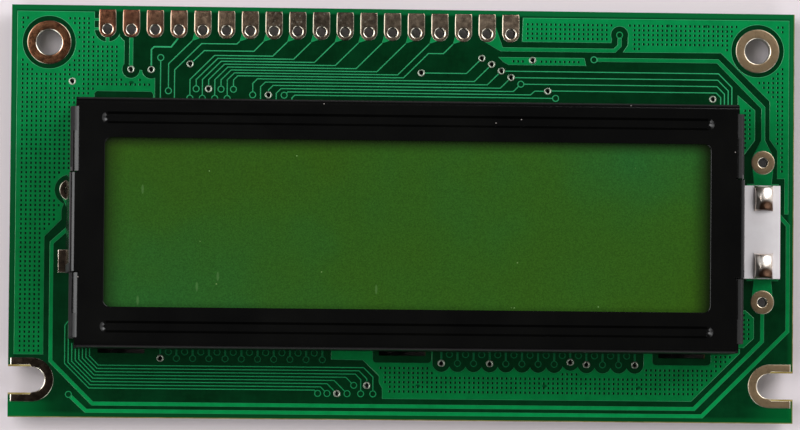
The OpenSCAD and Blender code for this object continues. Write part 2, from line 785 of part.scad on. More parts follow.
// Cross-section of a folded wall: outer face at 0 below its bend, leaning outward by an angle
module wall_section(r, base, lean) {
    reach = (face_z - r - base + (r - sheet_t) * sin(lean)) / cos(lean);
    translate([-r, face_z - r]) {
        intersection() {
            difference() {
                circle(r = r);
                circle(r = r - sheet_t);
            }
            polygon([[0, 0], 2 * r * [cos(lean), sin(lean)], [2 * r, 2 * r], [0, 2 * r]]);
        }
        rotate(lean) translate([r - sheet_t, -reach]) square([sheet_t, reach]);
    }
}

// A folded wall of length n with its outer face toward +X at x = 0, centred on Y
module folded_wall(n, r, base, lean = 0) {
    rotate([90, 0, 0])
    linear_extrude(n, center = true)
    wall_section(r, base, lean);
}

// One pressed groove below height z0, with ends that rise like the inside of a ball
module groove(z0) {
    half = bx - groove_end - groove_w / 2;
    ball_r = (groove_w * groove_w / 4 + ball_depth * ball_depth) / (2 * ball_depth);
    translate([0, 0, z0]) {
        rotate([90, 0, 90])
        linear_extrude(2 * half, center = true)
        polygon([[-groove_floor / 2, -groove_depth], [groove_floor / 2, -groove_depth],
                 [groove_w / 2, 0], [-groove_w / 2, 0]]);
        for (s = [-1, 1])
            translate([s * half, 0, 0]) intersection() {
                translate([0, 0, ball_r - ball_depth]) sphere(ball_r);
                translate([0, 0, -groove_depth]) cylinder(h = groove_depth, r = groove_w);
            }
    }
}

module bezel() {
    flap_r = sheet_t + bend_long;
    side_len = by - notch_y - flap_len / 2 - flap_slit;
    side_mid = flap_len / 2 + flap_slit + side_len / 2;
    long_len = bezel_w - 2 * notch_x;
    color([0.05, 0.05, 0.05])
    translate([0, bezel_y, 0]) {
        difference() {
            union() {
                // Face sheet with its window
                translate([0, 0, sheet_z]) linear_extrude(sheet_t) difference() {
                    union() {
                        square([bezel_w - 2 * side_r, bezel_h - 2 * long_r], center = true);
                        for (s = [-1, 1])
                            plate([0, s * (by - (notch_y + long_r) / 2)], long_len, notch_y - long_r);
                        plate([0, 0], bezel_w + 2 * flap_out - 2 * flap_r, flap_len);
                    }
                    soft_plate([0, 0], window_w, window_h, window_r);
                }
                for (s = [-1, 1])
                    translate([0, s * (by - groove_in), 0]) groove(sheet_z);
            }
            for (s = [-1, 1])
                translate([0, s * (by - groove_in), 0]) groove(face_z);
        }
        // Short walls in two lengths, with a sharper flap between them
        for (a = [0, 180])
            rotate([0, 0, a]) {
                for (s = [-1, 1])
                    translate([bx, s * side_mid, 0]) folded_wall(side_len, side_r, top_z + wall_lift);
                translate([bx + flap_out, 0, 0]) folded_wall(flap_len, flap_r, flap_base, flap_lean);
            }
        // Long walls and their tabs, twisted below the board
        for (a = [90, 270])
            rotate([0, 0, a]) {
                translate([by, 0, 0]) folded_wall(long_len, long_r, top_z + wall_lift);
                for (y = tabs)
                    translate([by - sheet_t / 2, y, 0]) {
                        translate([0, 0, (board_z + top_z + wall_lift) / 2 + 0.1])
                            cube([sheet_t, tab_w, board_t + wall_lift + 0.2], center = true);
                        translate([0, 0, board_z - tab_end / 2])
                            rotate([0, 0, tab_twist])
                            cube([sheet_t, tab_w - 2 * tab_shoulder, tab_end], center = true);
                    }
            }
    }
}

module front_polarizer() {
    color([0.4, 0.5, 0.25])
    translate([0, bezel_y, sheet_z - front_film_t / 2])
    cube([film_w, film_h, front_film_t], center = true);
}

module front_glass() {
    color([0.6, 0.7, 0.6])
    translate([0, bezel_y, front_glass_z + glass_t / 2])
    cube([inner_w - 2 * glass_gap, inner_h - 2 * glass_gap, glass_t], center = true);
}

module rear_glass() {
    color([0.6, 0.7, 0.6])
    translate([0, bezel_y, rear_glass_z + glass_t / 2])
    cube([inner_w - 2 * glass_gap, light_h, glass_t], center = true);
}

module rear_polarizer() {
    color([0.5, 0.55, 0.3])
    translate([0, bezel_y, rear_film_z + rear_film_t / 2])
    cube([light_w, light_h, rear_film_t], center = true);
}

module diffuser() {
    color([0.9, 0.95, 0.85])
    translate([0, bezel_y, diffuser_z + diffuser_t / 2])
    cube([light_w, light_h, diffuser_t], center = true);
}

module backlight_frame() {
    color([0.93, 0.93, 0.93])
    translate([0, bezel_y, frame_z])
    linear_extrude(diffuser_z - frame_z)
    difference() {
        square([light_w, light_h], center = true);
        square([light_w - 2 * light_wall, light_h - 2 * light_wall], center = true);
    }
}

module led_chips() {
    span = light_w - 2 * light_wall - 2 * chip_end;
    step = span / (chip_cols - 1);
    color([0.85, 0.85, 0.5])
    for (i = [0 : chip_cols - 1])
        for (s = [-1, 1])
            translate([i * step - span / 2, bezel_y + s * chip_row / 2, frame_z + chip_t / 2])
                cube([chip_l, chip_w, chip_t], center = true);
}

module backlight_board() {
    color([0.92, 0.92, 0.92])
    translate([0, 0, light_z])
    linear_extrude(light_t)
    union() {
        plate([0, bezel_y], light_w, light_h);
        translate([0, bezel_y - tail_w / 2]) square([tail_x, tail_w]);
    }
}

// Solder joints: blocks with a domed top at both ends of the tail
module backlight_joints() {
    color([0.8, 0.8, 0.8])
    for (y = joint_y)
        translate([supply_x, y, frame_z]) intersection() {
            translate([0, 0, joint_h / 2]) cube([joint_w, joint_l, joint_h], center = true);
            translate([0, 0, joint_h - joint_dome]) sphere(r = joint_dome);
        }
}

module zebra(s) {
    translate([0, bezel_y + s * (inner_h / 2 - strip_gap - strip_w / 2), (top_z + front_glass_z) / 2])
    cube([inner_w - 2 * strip_end, strip_w, front_glass_z - top_z], center = true);
}

module zebra_top() {
    color([0.75, 0.6, 0.5]) zebra(1);
}

module zebra_bottom() {
    color([0.75, 0.6, 0.5]) zebra(-1);
}

// Drop of black resin over a chip, flat where the module rests on it
module drop(s) {
    crown = drop_h + drop_flat;
    r = (drop_d * drop_d / 4 + crown * crown) / (2 * crown);
    translate([s * drop_pitch / 2, bezel_y, 0]) intersection() {
        translate([0, 0, drop_h - crown + r]) sphere(r = r);
        translate([0, 0, drop_h / 2]) cube([drop_d + 2, drop_d + 2, drop_h], center = true);
    }
}

module driver_drop_left() {
    color([0.06, 0.06, 0.06]) drop(-1);
}

module driver_drop_right() {
    color([0.06, 0.06, 0.06]) drop(1);
}

module chip_resistors() {
    color([0.15, 0.15, 0.17])
    for (i = [0 : 4])
        translate([(i - 2) * resistor_pitch, bezel_y + resistor_up, board_z - resistor_t / 2])
            cube([part_w, part_l, resistor_t], center = true);
}

module chip_capacitors() {
    color([0.6, 0.5, 0.38])
    for (i = [0 : 2])
        translate([(i - 1) * capacitor_pitch, bezel_y + capacitor_up, board_z - capacitor_t / 2])
            cube([part_l, part_w, capacitor_t], center = true);
}

pcb();
interface_pads();
mounting_rings();
slot_pads();
supply_pads();
spare_pads();
via_rings();
signal_tracks();
supply_tracks();
ground_pour();
bezel();
front_polarizer();
front_glass();
rear_glass();
rear_polarizer();
diffuser();
backlight_frame();
led_chips();
backlight_board();
backlight_joints();
zebra_top();
zebra_bottom();
driver_drop_left();
driver_drop_right();
chip_resistors();
chip_capacitors();
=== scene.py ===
"""Looks of a graphic display module: coated board, tinned pads, black bezel and yellow-green window."""
import json
import math
import random

import bmesh
import bpy
import numpy as np
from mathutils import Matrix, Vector
from mathutils.geometry import delaunay_2d_cdt


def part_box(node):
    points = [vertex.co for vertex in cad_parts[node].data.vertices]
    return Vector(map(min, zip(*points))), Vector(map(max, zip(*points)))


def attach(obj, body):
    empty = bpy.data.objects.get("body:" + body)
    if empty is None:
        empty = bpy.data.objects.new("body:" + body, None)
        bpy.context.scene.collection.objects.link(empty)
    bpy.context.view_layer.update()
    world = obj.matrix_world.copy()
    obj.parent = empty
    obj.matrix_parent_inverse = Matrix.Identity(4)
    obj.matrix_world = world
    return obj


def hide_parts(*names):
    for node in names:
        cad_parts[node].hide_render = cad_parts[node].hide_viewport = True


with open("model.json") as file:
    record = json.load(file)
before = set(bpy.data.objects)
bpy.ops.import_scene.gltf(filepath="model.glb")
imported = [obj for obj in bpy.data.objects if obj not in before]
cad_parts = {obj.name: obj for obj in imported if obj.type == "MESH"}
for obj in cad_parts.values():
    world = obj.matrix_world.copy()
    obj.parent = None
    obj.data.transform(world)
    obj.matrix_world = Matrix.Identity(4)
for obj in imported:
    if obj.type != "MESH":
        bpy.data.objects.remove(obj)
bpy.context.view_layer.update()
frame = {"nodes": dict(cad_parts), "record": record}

MM = 0.001
TINY = 1e-6
scene = bpy.context.scene
nodes = frame["nodes"]
mounts = {m["name"]: m for m in frame["record"]["mounts"]}

# Board: its faces and edges, the copper's height above it, and the plating in its holes
BOARD_LOW, BOARD_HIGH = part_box("pcb")
BOTTOM = BOARD_LOW.z
TOP = BOARD_HIGH.z
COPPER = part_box("ground_pour")[1].z - TOP
PLATING = 0.05 * MM
# Bezel: its box, which takes in the twisted tabs, and half of its window
BEZEL_LOW, BEZEL_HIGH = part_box("bezel")
BEZEL_MID_Y = (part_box("front_glass")[0].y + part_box("front_glass")[1].y) / 2
BEZEL_HALF_Y = (BEZEL_HIGH.y - BEZEL_LOW.y) / 2
WINDOW_X = 32 * MM
WINDOW_Y = 8.9 * MM
# Open slots: their middle, and how far from it the bare strips along them reach
SLOT_Y = mounts["edge_slots"]["pos_m"][1]
SLOT_STRIP = 1.58 * MM


# Materials. A fade is a pair of values: a mask starts at the first and is full at the second.

def srgb(red, green, blue):
    """Linear colour of a screen colour whose parts run from 0 to 255."""
    def linear(part):
        part /= 255
        return part / 12.92 if part <= 0.04045 else ((part + 0.055) / 1.055) ** 2.4
    return (linear(red), linear(green), linear(blue), 1.0)


def grey(level):
    """Colour with three equal parts, for tones and roughness."""
    return (level, level, level, 1.0)


# Fades of the shade on the covered vias along the bezel's lower wall: below, above and at the ends
FOOT_ROW_LOW = (-16.25 * MM, -16.15 * MM)
FOOT_ROW_HIGH = (BEZEL_LOW.y + 2 * MM, BEZEL_LOW.y + MM)
FOOT_ROW_END = (WINDOW_X + 0.5 * MM, WINDOW_X)


class Paint:
    """One procedural material. Its methods add nodes and return their output sockets."""

    # Sockets of the mixing node that stand for colours, whose names repeat
    MIX_SHARE, MIX_FIRST, MIX_SECOND, MIX_RESULT = 0, 6, 7, 2
    # Fade of a mark's edge, in squared shares of its size
    MARK_EDGE = (1.0, 0.3)

    def __init__(self, name, **fixed):
        self.material = bpy.data.materials.new(name)
        self.material.use_nodes = True
        self.tree = self.material.node_tree
        self.shader = self.tree.nodes["Principled BSDF"]
        self.place = self.add("ShaderNodeTexCoord").outputs["Object"]
        self.x, self.y, self.z = self.add("ShaderNodeSeparateXYZ", {0: self.place}).outputs
        for socket, value in fixed.items():
            self.set(socket.replace("_", " ").title().replace("Ior", "IOR"), value)

    def add(self, kind, inputs=None, **attributes):
        node = self.tree.nodes.new(kind)
        for name, value in attributes.items():
            setattr(node, name, value)
        for key, value in (inputs or {}).items():
            self.feed(node.inputs[key], value)
        return node

    def feed(self, socket, value):
        if isinstance(value, bpy.types.NodeSocket):
            self.tree.links.new(value, socket)
        else:
            socket.default_value = value

    def set(self, socket, value):
        self.feed(self.shader.inputs[socket], value)

    def finished(self, base):
        """Sets the colour and returns the material."""
        self.set("Base Color", base)
        return self.material

    def math(self, operation, first, second=0.0):
        return self.add("ShaderNodeMath", {0: first, 1: second}, operation=operation).outputs[0]

    def plus(self, first, second):
        return self.math("ADD", first, second)

    def minus(self, first, second):
        return self.math("SUBTRACT", first, second)

    def times(self, first, second):
        return self.math("MULTIPLY", first, second)

    def away(self, axis, centre=0.0):
        """Distance along one axis from a centre."""
        return self.math("ABSOLUTE", self.minus(axis, centre))

    def step(self, value, start, end):
        """Rises smoothly from 0 at start to 1 at end, or falls where end is the smaller."""
        low, high, first, last = (start, end, 0.0, 1.0) if start < end else (end, start, 1.0, 0.0)
        node = self.add("ShaderNodeMapRange", {"Value": value, "From Min": low, "From Max": high,
                                               "To Min": first, "To Max": last},
                        interpolation_type="SMOOTHSTEP")
        return node.outputs[0]

    def where(self, *pairs):
        """1 where every value is past its fade, given as (value, fade) pairs."""
        found = 1.0
        for value, fade in pairs:
            found = self.times(found, self.step(value, *fade))
        return found

    def stretched(self, *scale):
        return self.add("ShaderNodeMapping", {"Vector": self.place, "Scale": scale}).outputs[0]

    def noise(self, size, detail=3.0, rough=0.5, place=None):
        """Noise from 0 to 1 with features of about the given size in metres."""
        node = self.add("ShaderNodeTexNoise", {"Vector": place or self.place, "Scale": 1 / size,
                                               "Detail": detail, "Roughness": rough})
        return node.outputs[0]

    def cells(self, size):
        """Distance from the nearest of scattered points, in shares of the size that parts them."""
        node = self.add("ShaderNodeTexVoronoi", {"Vector": self.place, "Scale": 1 / size})
        return node.outputs["Distance"]

    def marks(self, places, across, along):
        """1 in small ovals at some places, given as x and y in millimetres, and 0 elsewhere."""
        found = 0.0
        for x, y in places:
            wide = self.times(self.away(self.x, x * MM), 1 / across)
            tall = self.times(self.away(self.y, y * MM), 1 / along)
            far = self.plus(self.times(wide, wide), self.times(tall, tall))
            found = self.math("MAXIMUM", found, self.step(far, *self.MARK_EDGE))
        return found

    def ramp(self, value, *stops):
        """Colour ramp through (position, colour) stops."""
        node = self.add("ShaderNodeValToRGB", {0: value})
        elements = node.color_ramp.elements
        while len(elements) < len(stops):
            elements.new(0.5)
        for element, (position, colour) in zip(elements, stops):
            element.position = position
            element.color = colour
        return node.outputs[0]

    def mix(self, share, first, second, blend="MIX"):
        sockets = {self.MIX_SHARE: share, self.MIX_FIRST: first, self.MIX_SECOND: second}
        node = self.add("ShaderNodeMix", sockets, data_type="RGBA", blend_type=blend)
        return node.outputs[self.MIX_RESULT]

    def bump(self, height, depth, strength):
        """Sets the fine relief of the surface."""
        node = self.add("ShaderNodeBump", {"Height": height, "Distance": depth, "Strength": strength})
        self.set("Normal", node.outputs[0])

    def level(self):
        """How level the surface lies: 1 on flat faces, 0 on upright walls."""
        normal = self.add("ShaderNodeNewGeometry").outputs["Normal"]
        z = self.add("ShaderNodeSeparateXYZ", {0: normal}).outputs[2]
        return self.math("ABSOLUTE", z)

    def foot_row(self):
        """1 over the covered vias in the shade of the bezel's lower wall."""
        ends = (self.away(self.x), FOOT_ROW_END)
        return self.where((self.y, FOOT_ROW_LOW), (self.y, FOOT_ROW_HIGH), ends)


# Gloss of the coating on copper
COPPER_COAT = {"roughness": 0.14, "specular_ior_level": 0.3}
# Fades of the board's bright border and lower corners, and of their drift over the board
BORDER = (0.75 * MM, 0.4 * MM)
BORDER_DRIFT = (-16 * MM, 16 * MM)
CORNER_X = (6.5 * MM, 0.5 * MM)
CORNER_Y = (-19.8 * MM, -20.6 * MM)
CORNER_DRIFT = (-30 * MM, 30 * MM)
# Fades of the bare line at the right and lower edges, the strips along the slots and the cut edges
BARE_LINE = (0.1 * MM, 0.06 * MM)
BARE_STRIP = (SLOT_STRIP + 0.01 * MM, SLOT_STRIP)
BARE_STRIP_END = (2.5 * MM, 2.45 * MM)
CUT_EDGE = (0.6, 0.4)


def solder_mask():
    """Board: dark green coating, brighter along its border and in its lower corners, with bare laminate
    on its cut edges, in a line along the right and lower ones and in strips along the slots."""
    paint = Paint("solder_mask", roughness=0.12, specular_ior_level=0.3)
    base = paint.ramp(paint.noise(3 * MM), (0.3, srgb(0, 40, 16)), (0.7, srgb(1, 52, 24)))
    from_side = paint.minus(BOARD_HIGH.x, paint.away(paint.x))
    from_end = paint.minus(BOARD_HIGH.y, paint.away(paint.y))
    border = paint.step(paint.math("MINIMUM", from_side, from_end), *BORDER)
    rim = paint.mix(paint.step(paint.y, *BORDER_DRIFT), srgb(2, 68, 30), srgb(8, 98, 50))
    base = paint.mix(paint.times(border, 0.85), base, rim)
    corner = paint.where((from_side, CORNER_X), (paint.y, CORNER_Y))
    share = paint.minus(0.8, paint.times(paint.step(paint.x, *CORNER_DRIFT), 0.3))
    base = paint.mix(paint.times(corner, share), base, srgb(1, 100, 46))
    weave = paint.times(paint.noise(0.3 * MM, place=paint.stretched(1, 0.3, 1)),
                        paint.noise(0.3 * MM, place=paint.stretched(0.3, 1, 1)))
    base = paint.mix(paint.times(paint.step(weave, 0.15, 0.4), 0.25), base, srgb(4, 62, 28), "LIGHTEN")
    layers = paint.noise(0.09 * MM, place=paint.stretched(0.05, 0.05, 1))
    laminate = paint.ramp(layers, (0.35, srgb(136, 118, 62)), (0.65, srgb(176, 160, 104)))
    right = paint.minus(BOARD_HIGH.x, paint.x)
    below = paint.plus(BOARD_HIGH.y, paint.y)
    line = paint.times(paint.step(paint.math("MINIMUM", right, below), *BARE_LINE), 0.7)
    strip = paint.where((paint.away(paint.y, SLOT_Y), BARE_STRIP), (from_side, BARE_STRIP_END))
    bare = paint.math("MAXIMUM", paint.step(paint.level(), *CUT_EDGE), paint.math("MAXIMUM", line, strip))
    paint.bump(paint.noise(0.25 * MM), 0.006 * MM, 0.5)
    return paint.finished(paint.mix(bare, base, laminate))


# Unevenness of the copper's green, and the places in millimetres of dark smudges in the pour
UNEVEN = 0.12
POUR_SMUDGES = ((1.7, -18.3), (15.3, -18.2), (25.4, -18.3), (-29.2, 13.8), (28.3, 20.6), (32.5, 20.6))


def coated_copper(name, low, middle, high, crest=None, smudges=(), shade=0.0):
    """Copper under the coating, with a faintly uneven green that drifts from the lower to the upper edge.
    The crest is the green of the wide ends beside the pin pads, and the shade darkens the foot row."""
    paint = Paint(name, **COPPER_COAT)
    up = paint.math("DIVIDE", paint.minus(paint.y, BOARD_LOW.y), BOARD_HIGH.y - BOARD_LOW.y)
    base = paint.ramp(up, (0.05, low), (0.5, middle), (0.91, high), (0.925, crest or high))
    tone = paint.ramp(paint.noise(1.2 * MM, 5.0, 0.6), (0.3, grey(1 - UNEVEN)), (0.7, grey(1 + UNEVEN)))
    base = paint.mix(1.0, base, tone, "MULTIPLY")
    if smudges:
        smudged = paint.times(paint.marks(smudges, 0.32 * MM, 0.2 * MM), 0.75)
        base = paint.mix(smudged, base, srgb(0, 48, 22))
    if shade:
        base = paint.mix(paint.times(paint.foot_row(), shade), base, srgb(2, 54, 27))
    paint.bump(paint.noise(0.12 * MM), 0.004 * MM, 0.5)
    return paint.finished(base)


def openings():
    """Dark bottoms of the small openings in the pour."""
    paint = Paint("pour_openings", **COPPER_COAT)
    base = paint.ramp(paint.noise(0.6 * MM), (0.3, srgb(0, 26, 11)), (0.7, srgb(0, 42, 18)))
    return paint.finished(base)


# Fades over the tin: dark pads at the lower left, pitted pin pads, and dull pads at the right
DARK_PADS_X = (-20 * MM, -34 * MM)
DARK_PADS_Y = (7 * MM, 3 * MM)
PITTED_X = -10 * MM
PITTED_REACH = (8.5 * MM, 5 * MM)
PITS = (0.3, 0.12)
DULL_PADS_X = (28 * MM, 36 * MM)
# Fades from the rims to the flats by how level they lie, and down into the holes
RIM_LEVEL = (0.93, 0.985)
HOLE_DEPTH = (TOP - 0.1 * MM, TOP - 0.4 * MM)


def tin(name, tints, rim, roughness, dents):
    """Tinned metal: flats whose tint drifts along the board, with a fine uneven skin, and plain rims."""
    paint = Paint(name, metallic=1.0)
    tint = paint.ramp(paint.step(paint.x, BOARD_LOW.x, BOARD_HIGH.x), *tints)
    dull = paint.mix(0.35, tint, (0.3, 0.22, 0.17, 1.0), "MULTIPLY")
    flat = paint.mix(paint.step(paint.noise(0.28 * MM, 5.0, 0.65), 0.52, 0.72), tint, dull)
    dark = paint.where((paint.y, DARK_PADS_Y), (paint.x, DARK_PADS_X))
    flat = paint.mix(paint.times(dark, 0.96), flat, (0.05, 0.04, 0.03, 1.0))
    pitted = paint.where((paint.away(paint.x, PITTED_X), PITTED_REACH), (paint.cells(0.42 * MM), PITS))
    flat = paint.mix(paint.times(pitted, 0.7), flat, rim)
    # Painted shade of the bezel's lower wall over the tin in the foot row
    flat = paint.mix(paint.times(paint.foot_row(), 0.1), flat, (0.05, 0.06, 0.05, 1.0))
    skin = paint.mix(paint.step(paint.level(), *RIM_LEVEL), rim, flat)
    deep = paint.step(paint.z, *HOLE_DEPTH)
    base = paint.mix(deep, skin, (0.4, 0.4, 0.34, 1.0))
    rough = paint.ramp(paint.noise(0.5 * MM), (0.3, grey(roughness * 0.8)), (0.7, grey(roughness * 1.35)))
    far_right = paint.step(paint.x, *DULL_PADS_X)
    paint.set("Roughness", paint.mix(paint.times(far_right, 0.6), rough, grey(0.4)))
    grain = paint.plus(paint.noise(0.4 * MM), paint.times(paint.noise(0.1 * MM), 0.4))
    paint.bump(grain, dents, 0.6)
    return paint.finished(base)


# Fades of the bezel's bends at its short and long walls, and the place of the short walls' flaps
SHORT_BEND = (BEZEL_HIGH.x - 1.3 * MM, BEZEL_HIGH.x - 1.1 * MM)
LONG_BEND = (BEZEL_HALF_Y - 1.3 * MM, BEZEL_HALF_Y - 1.1 * MM)
FLAP_Y = -0.8 * MM
FLAP_END = (5 * MM, 5.1 * MM)
# Fades round the ends of the pressed grooves
GROOVE_INNER = (WINDOW_Y + 0.6 * MM, WINDOW_Y + 0.8 * MM)
GROOVE_OUTER = (BEZEL_HALF_Y - 1.4 * MM, BEZEL_HALF_Y - 1.6 * MM)
GROOVE_END = (31.9 * MM, 32.1 * MM)
# Fades by how level the surface lies: at those ends, on the long bends and on the short walls
GROOVE_LEVEL = (0.99, 0.95)
DULLED_LEVEL = (0.99, 0.9)
RUBBED_LEVEL = (0.8, 0.5)
WORN_LEVEL = (0.25, 0.06)
# Places in millimetres of dust on the bezel
STEEL_SPECKS = ((34.6, 6.6), (-34.7, -7.3), (11.9, 9.8), (23.5, 11.4), (9.2, 9.4), (-9.0, 11.2))


def black_steel():
    """Satin black paint with fine grain and a few pale specks, worn on the short walls beside the flaps,
    and dull on the long bends and at the grooves' ends."""
    paint = Paint("black_steel")
    level = paint.level()
    smear = paint.noise(7 * MM, 6.0, 0.6)
    base = paint.ramp(smear, (0.35, srgb(4, 4, 4)), (0.75, srgb(7, 7, 6)))
    speck = paint.where((paint.cells(1.9 * MM), (0.05, 0.02)), (paint.noise(5 * MM), (0.55, 0.62)))
    speck = paint.math("MAXIMUM", speck, paint.marks(STEEL_SPECKS, 0.07 * MM, 0.07 * MM))
    base = paint.mix(speck, base, srgb(150, 142, 138))
    out_x = paint.away(paint.x)
    out_y = paint.away(paint.y, BEZEL_MID_Y)
    short_wall = (out_x, SHORT_BEND)
    beside_flap = (paint.away(paint.y, FLAP_Y), FLAP_END)
    worn = paint.where((level, WORN_LEVEL), short_wall, beside_flap)
    rubbed = paint.where((level, RUBBED_LEVEL), short_wall, beside_flap)
    dulled = paint.where((level, DULLED_LEVEL), (out_y, LONG_BEND))
    groove_end = paint.where((level, GROOVE_LEVEL), (out_x, GROOVE_END),
                             (out_y, GROOVE_INNER), (out_y, GROOVE_OUTER))
    rough = paint.ramp(smear, (0.3, grey(0.12)), (0.7, grey(0.16)))
    for mask, roughness in ((groove_end, 0.36), (dulled, 0.4), (rubbed, 0.85)):
        rough = paint.mix(mask, rough, grey(roughness))
    paint.set("Roughness", rough)
    paint.set("Specular IOR Level", paint.minus(0.5, paint.times(dulled, 0.38)))
    paint.bump(paint.noise(0.06 * MM, 2.0), 0.004 * MM, 0.6)
    return paint.finished(paint.mix(worn, base, srgb(30, 32, 30)))


# Places in millimetres of pale streaks and specks on the film
FILM_STREAKS = ((-22.2, -8.2), (-20.0, -7.1), (-3.3, -8.3), (-28.4, -9.7), (-28.0, 2.0))
FILM_SPECKS = ((-21.0, 4.0), (11.3, -10.1), (20.2, -9.9), (-11.8, 5.7))


def display_film():
    """Yellow-green film over the cell, mottled and grainy, with painted shade of the bezel's window edges
    toward three of them.
    """
    paint = Paint("display_film", roughness=0.16)
    across = paint.times(paint.x, 1 / WINDOW_X)
    up = paint.times(paint.minus(paint.y, BEZEL_MID_Y), 1 / WINDOW_Y)
    twist = paint.plus(paint.times(paint.times(across, up), 0.5), paint.noise(11 * MM, 2.0))
    base = paint.ramp(twist, (0.0, srgb(45, 78, 13)), (0.5, srgb(41, 81, 20)), (1.0, srgb(33, 84, 32)))
    to_right = paint.times(paint.step(across, -0.4, 1.0), 0.6)
    base = paint.mix(to_right, base, (1.06, 1.1, 1.2, 1.0), "MULTIPLY")
    grain = paint.ramp(paint.noise(0.14 * MM, 2.0, 0.7), (0.35, grey(0.6)), (0.65, grey(1.4)))
    base = paint.mix(0.5, base, grain, "MULTIPLY")
    # Painted shade cast by the bezel's window edges, toward the top, right and left edges, each over its
    # reach and to its share
    top = paint.minus(BEZEL_MID_Y + WINDOW_Y, paint.y)
    right = paint.minus(WINDOW_X, paint.x)
    left = paint.plus(WINDOW_X, paint.x)
    for gap, reach, share in ((top, 1.5 * MM, 0.75), (right, 2.3 * MM, 0.85), (left, 2.5 * MM, 0.55)):
        base = paint.mix(paint.times(paint.step(gap, reach, 0.0), share), base, srgb(18, 26, 6))
    streak = paint.marks(FILM_STREAKS, 0.16 * MM, 0.6 * MM)
    base = paint.mix(paint.times(streak, 0.16), base, srgb(120, 160, 100))
    base = paint.mix(paint.marks(FILM_SPECKS, 0.08 * MM, 0.08 * MM), base, srgb(110, 146, 86))
    speck = paint.step(paint.cells(3.1 * MM), 0.035, 0.015)
    paint.bump(paint.noise(0.1 * MM), 0.003 * MM, 0.4)
    return paint.finished(paint.mix(paint.times(speck, 0.6), base, srgb(120, 150, 90)))


def white_mask():
    """White coated light board with faint stains."""
    paint = Paint("white_mask", roughness=0.4)
    stain = paint.noise(1.6 * MM, 5.0, 0.6)
    paint.bump(paint.noise(0.2 * MM), 0.004 * MM, 0.4)
    return paint.finished(paint.ramp(stain, (0.3, srgb(240, 234, 236)), (0.7, srgb(247, 242, 244))))


# Painted dark reflection on the lower side of a joint, in shares of half a joint: its middle from the lower
# left corner, and its size
DARK_REFLECTION_X, DARK_REFLECTION_Y = 1.2, 0.3
DARK_REFLECTION_ACROSS, DARK_REFLECTION_ALONG = 1.1, 0.7


def solder(joint_boxes):
    """Bright warm solder with a painted dark brown reflection on the lower side of each joint."""
    paint = Paint("solder", metallic=1.0)
    flux = paint.noise(0.7 * MM, 4.0)
    base = paint.ramp(flux, (0.35, (0.8, 0.68, 0.58, 1)), (0.6, (0.92, 0.86, 0.8, 1)))
    half = (joint_boxes[0][1] - joint_boxes[0][0]) / 2
    # Painted dark brown reflection on the lower side of each joint
    reflection_places = [((low.x + half.x * DARK_REFLECTION_X) / MM, (low.y + half.y * DARK_REFLECTION_Y) / MM) for low, _ in joint_boxes]
    painted_reflection = paint.marks(reflection_places, half.x * DARK_REFLECTION_ACROSS, half.y * DARK_REFLECTION_ALONG)
    paint.set("Roughness", paint.ramp(flux, (0.3, grey(0.26)), (0.7, grey(0.36))))
    paint.bump(paint.noise(0.5 * MM, 2.0), 0.012 * MM, 0.5)
    return paint.finished(paint.mix(painted_reflection, base, (0.1, 0.055, 0.035, 1)))


def moulded(name, dark, light, size, roughness, depth=0.01 * MM):
    """Plain moulded, cast or fired material with a faint grain."""
    paint = Paint(name, roughness=roughness)
    paint.bump(paint.noise(size / 4), depth, 0.5)
    return paint.finished(paint.ramp(paint.noise(size, 4.0), (0.3, dark), (0.7, light)))


# Fades of the shade on the table, from the line under the lower tab slots and at its ends
SLOT_SHADE_Y = (3 * MM, 2 * MM)
SLOT_SHADE_X = (BEZEL_HIGH.x, BEZEL_HIGH.x - 2 * MM)


def table():
    """Pale table with faint clouds, shaded under the slots of the bezel's lower tabs."""
    paint = Paint("floor", roughness=0.7)
    base = paint.ramp(paint.noise(60 * MM, 4.0), (0.3, srgb(228, 219, 224)), (0.7, srgb(236, 227, 232)))
    from_slots = paint.away(paint.y, BEZEL_LOW.y)
    shaded = paint.where((from_slots, SLOT_SHADE_Y), (paint.away(paint.x), SLOT_SHADE_X))
    paint.bump(paint.noise(15 * MM), 0.01 * MM, 0.5)
    return paint.finished(paint.mix(shaded, base, srgb(92, 84, 82)))


def glass():
    """Clear cell glass with a faint green body."""
    paint = Paint("cell_glass", transmission_weight=1.0, roughness=0.03, ior=1.5)
    body = paint.ramp(paint.noise(20 * MM), (0.3, (0.78, 0.9, 0.8, 1)), (0.7, (0.82, 0.92, 0.83, 1)))
    return paint.finished(body)


# Contact strips: half the pitch of the layers, and the fade between them
LAYER = 0.05 * MM
LAYER_EDGE = (0.02 * MM, 0.03 * MM)


def layered_rubber():
    """Contact strip: thin dark conducting layers between pale ones."""
    paint = Paint("contact_rubber", roughness=0.6)
    pale = paint.step(paint.math("PINGPONG", paint.x, LAYER), *LAYER_EDGE)
    return paint.finished(paint.mix(pale, srgb(60, 52, 48), srgb(205, 170, 150)))


POUR = coated_copper("pour_coating", srgb(4, 112, 54), srgb(4, 114, 55), srgb(5, 128, 66),
                     smudges=POUR_SMUDGES)
WIDE = coated_copper("track_coating_wide", srgb(4, 134, 68), srgb(5, 112, 56), srgb(6, 124, 64))
FINE = coated_copper("track_coating_fine", srgb(26, 136, 80), srgb(34, 152, 92), srgb(50, 166, 108),
                     crest=srgb(8, 132, 70), shade=0.7)
EDGE = coated_copper("coating_edge", srgb(40, 130, 80), srgb(60, 138, 92), srgb(70, 160, 110), shade=0.45)
OPENINGS = openings()
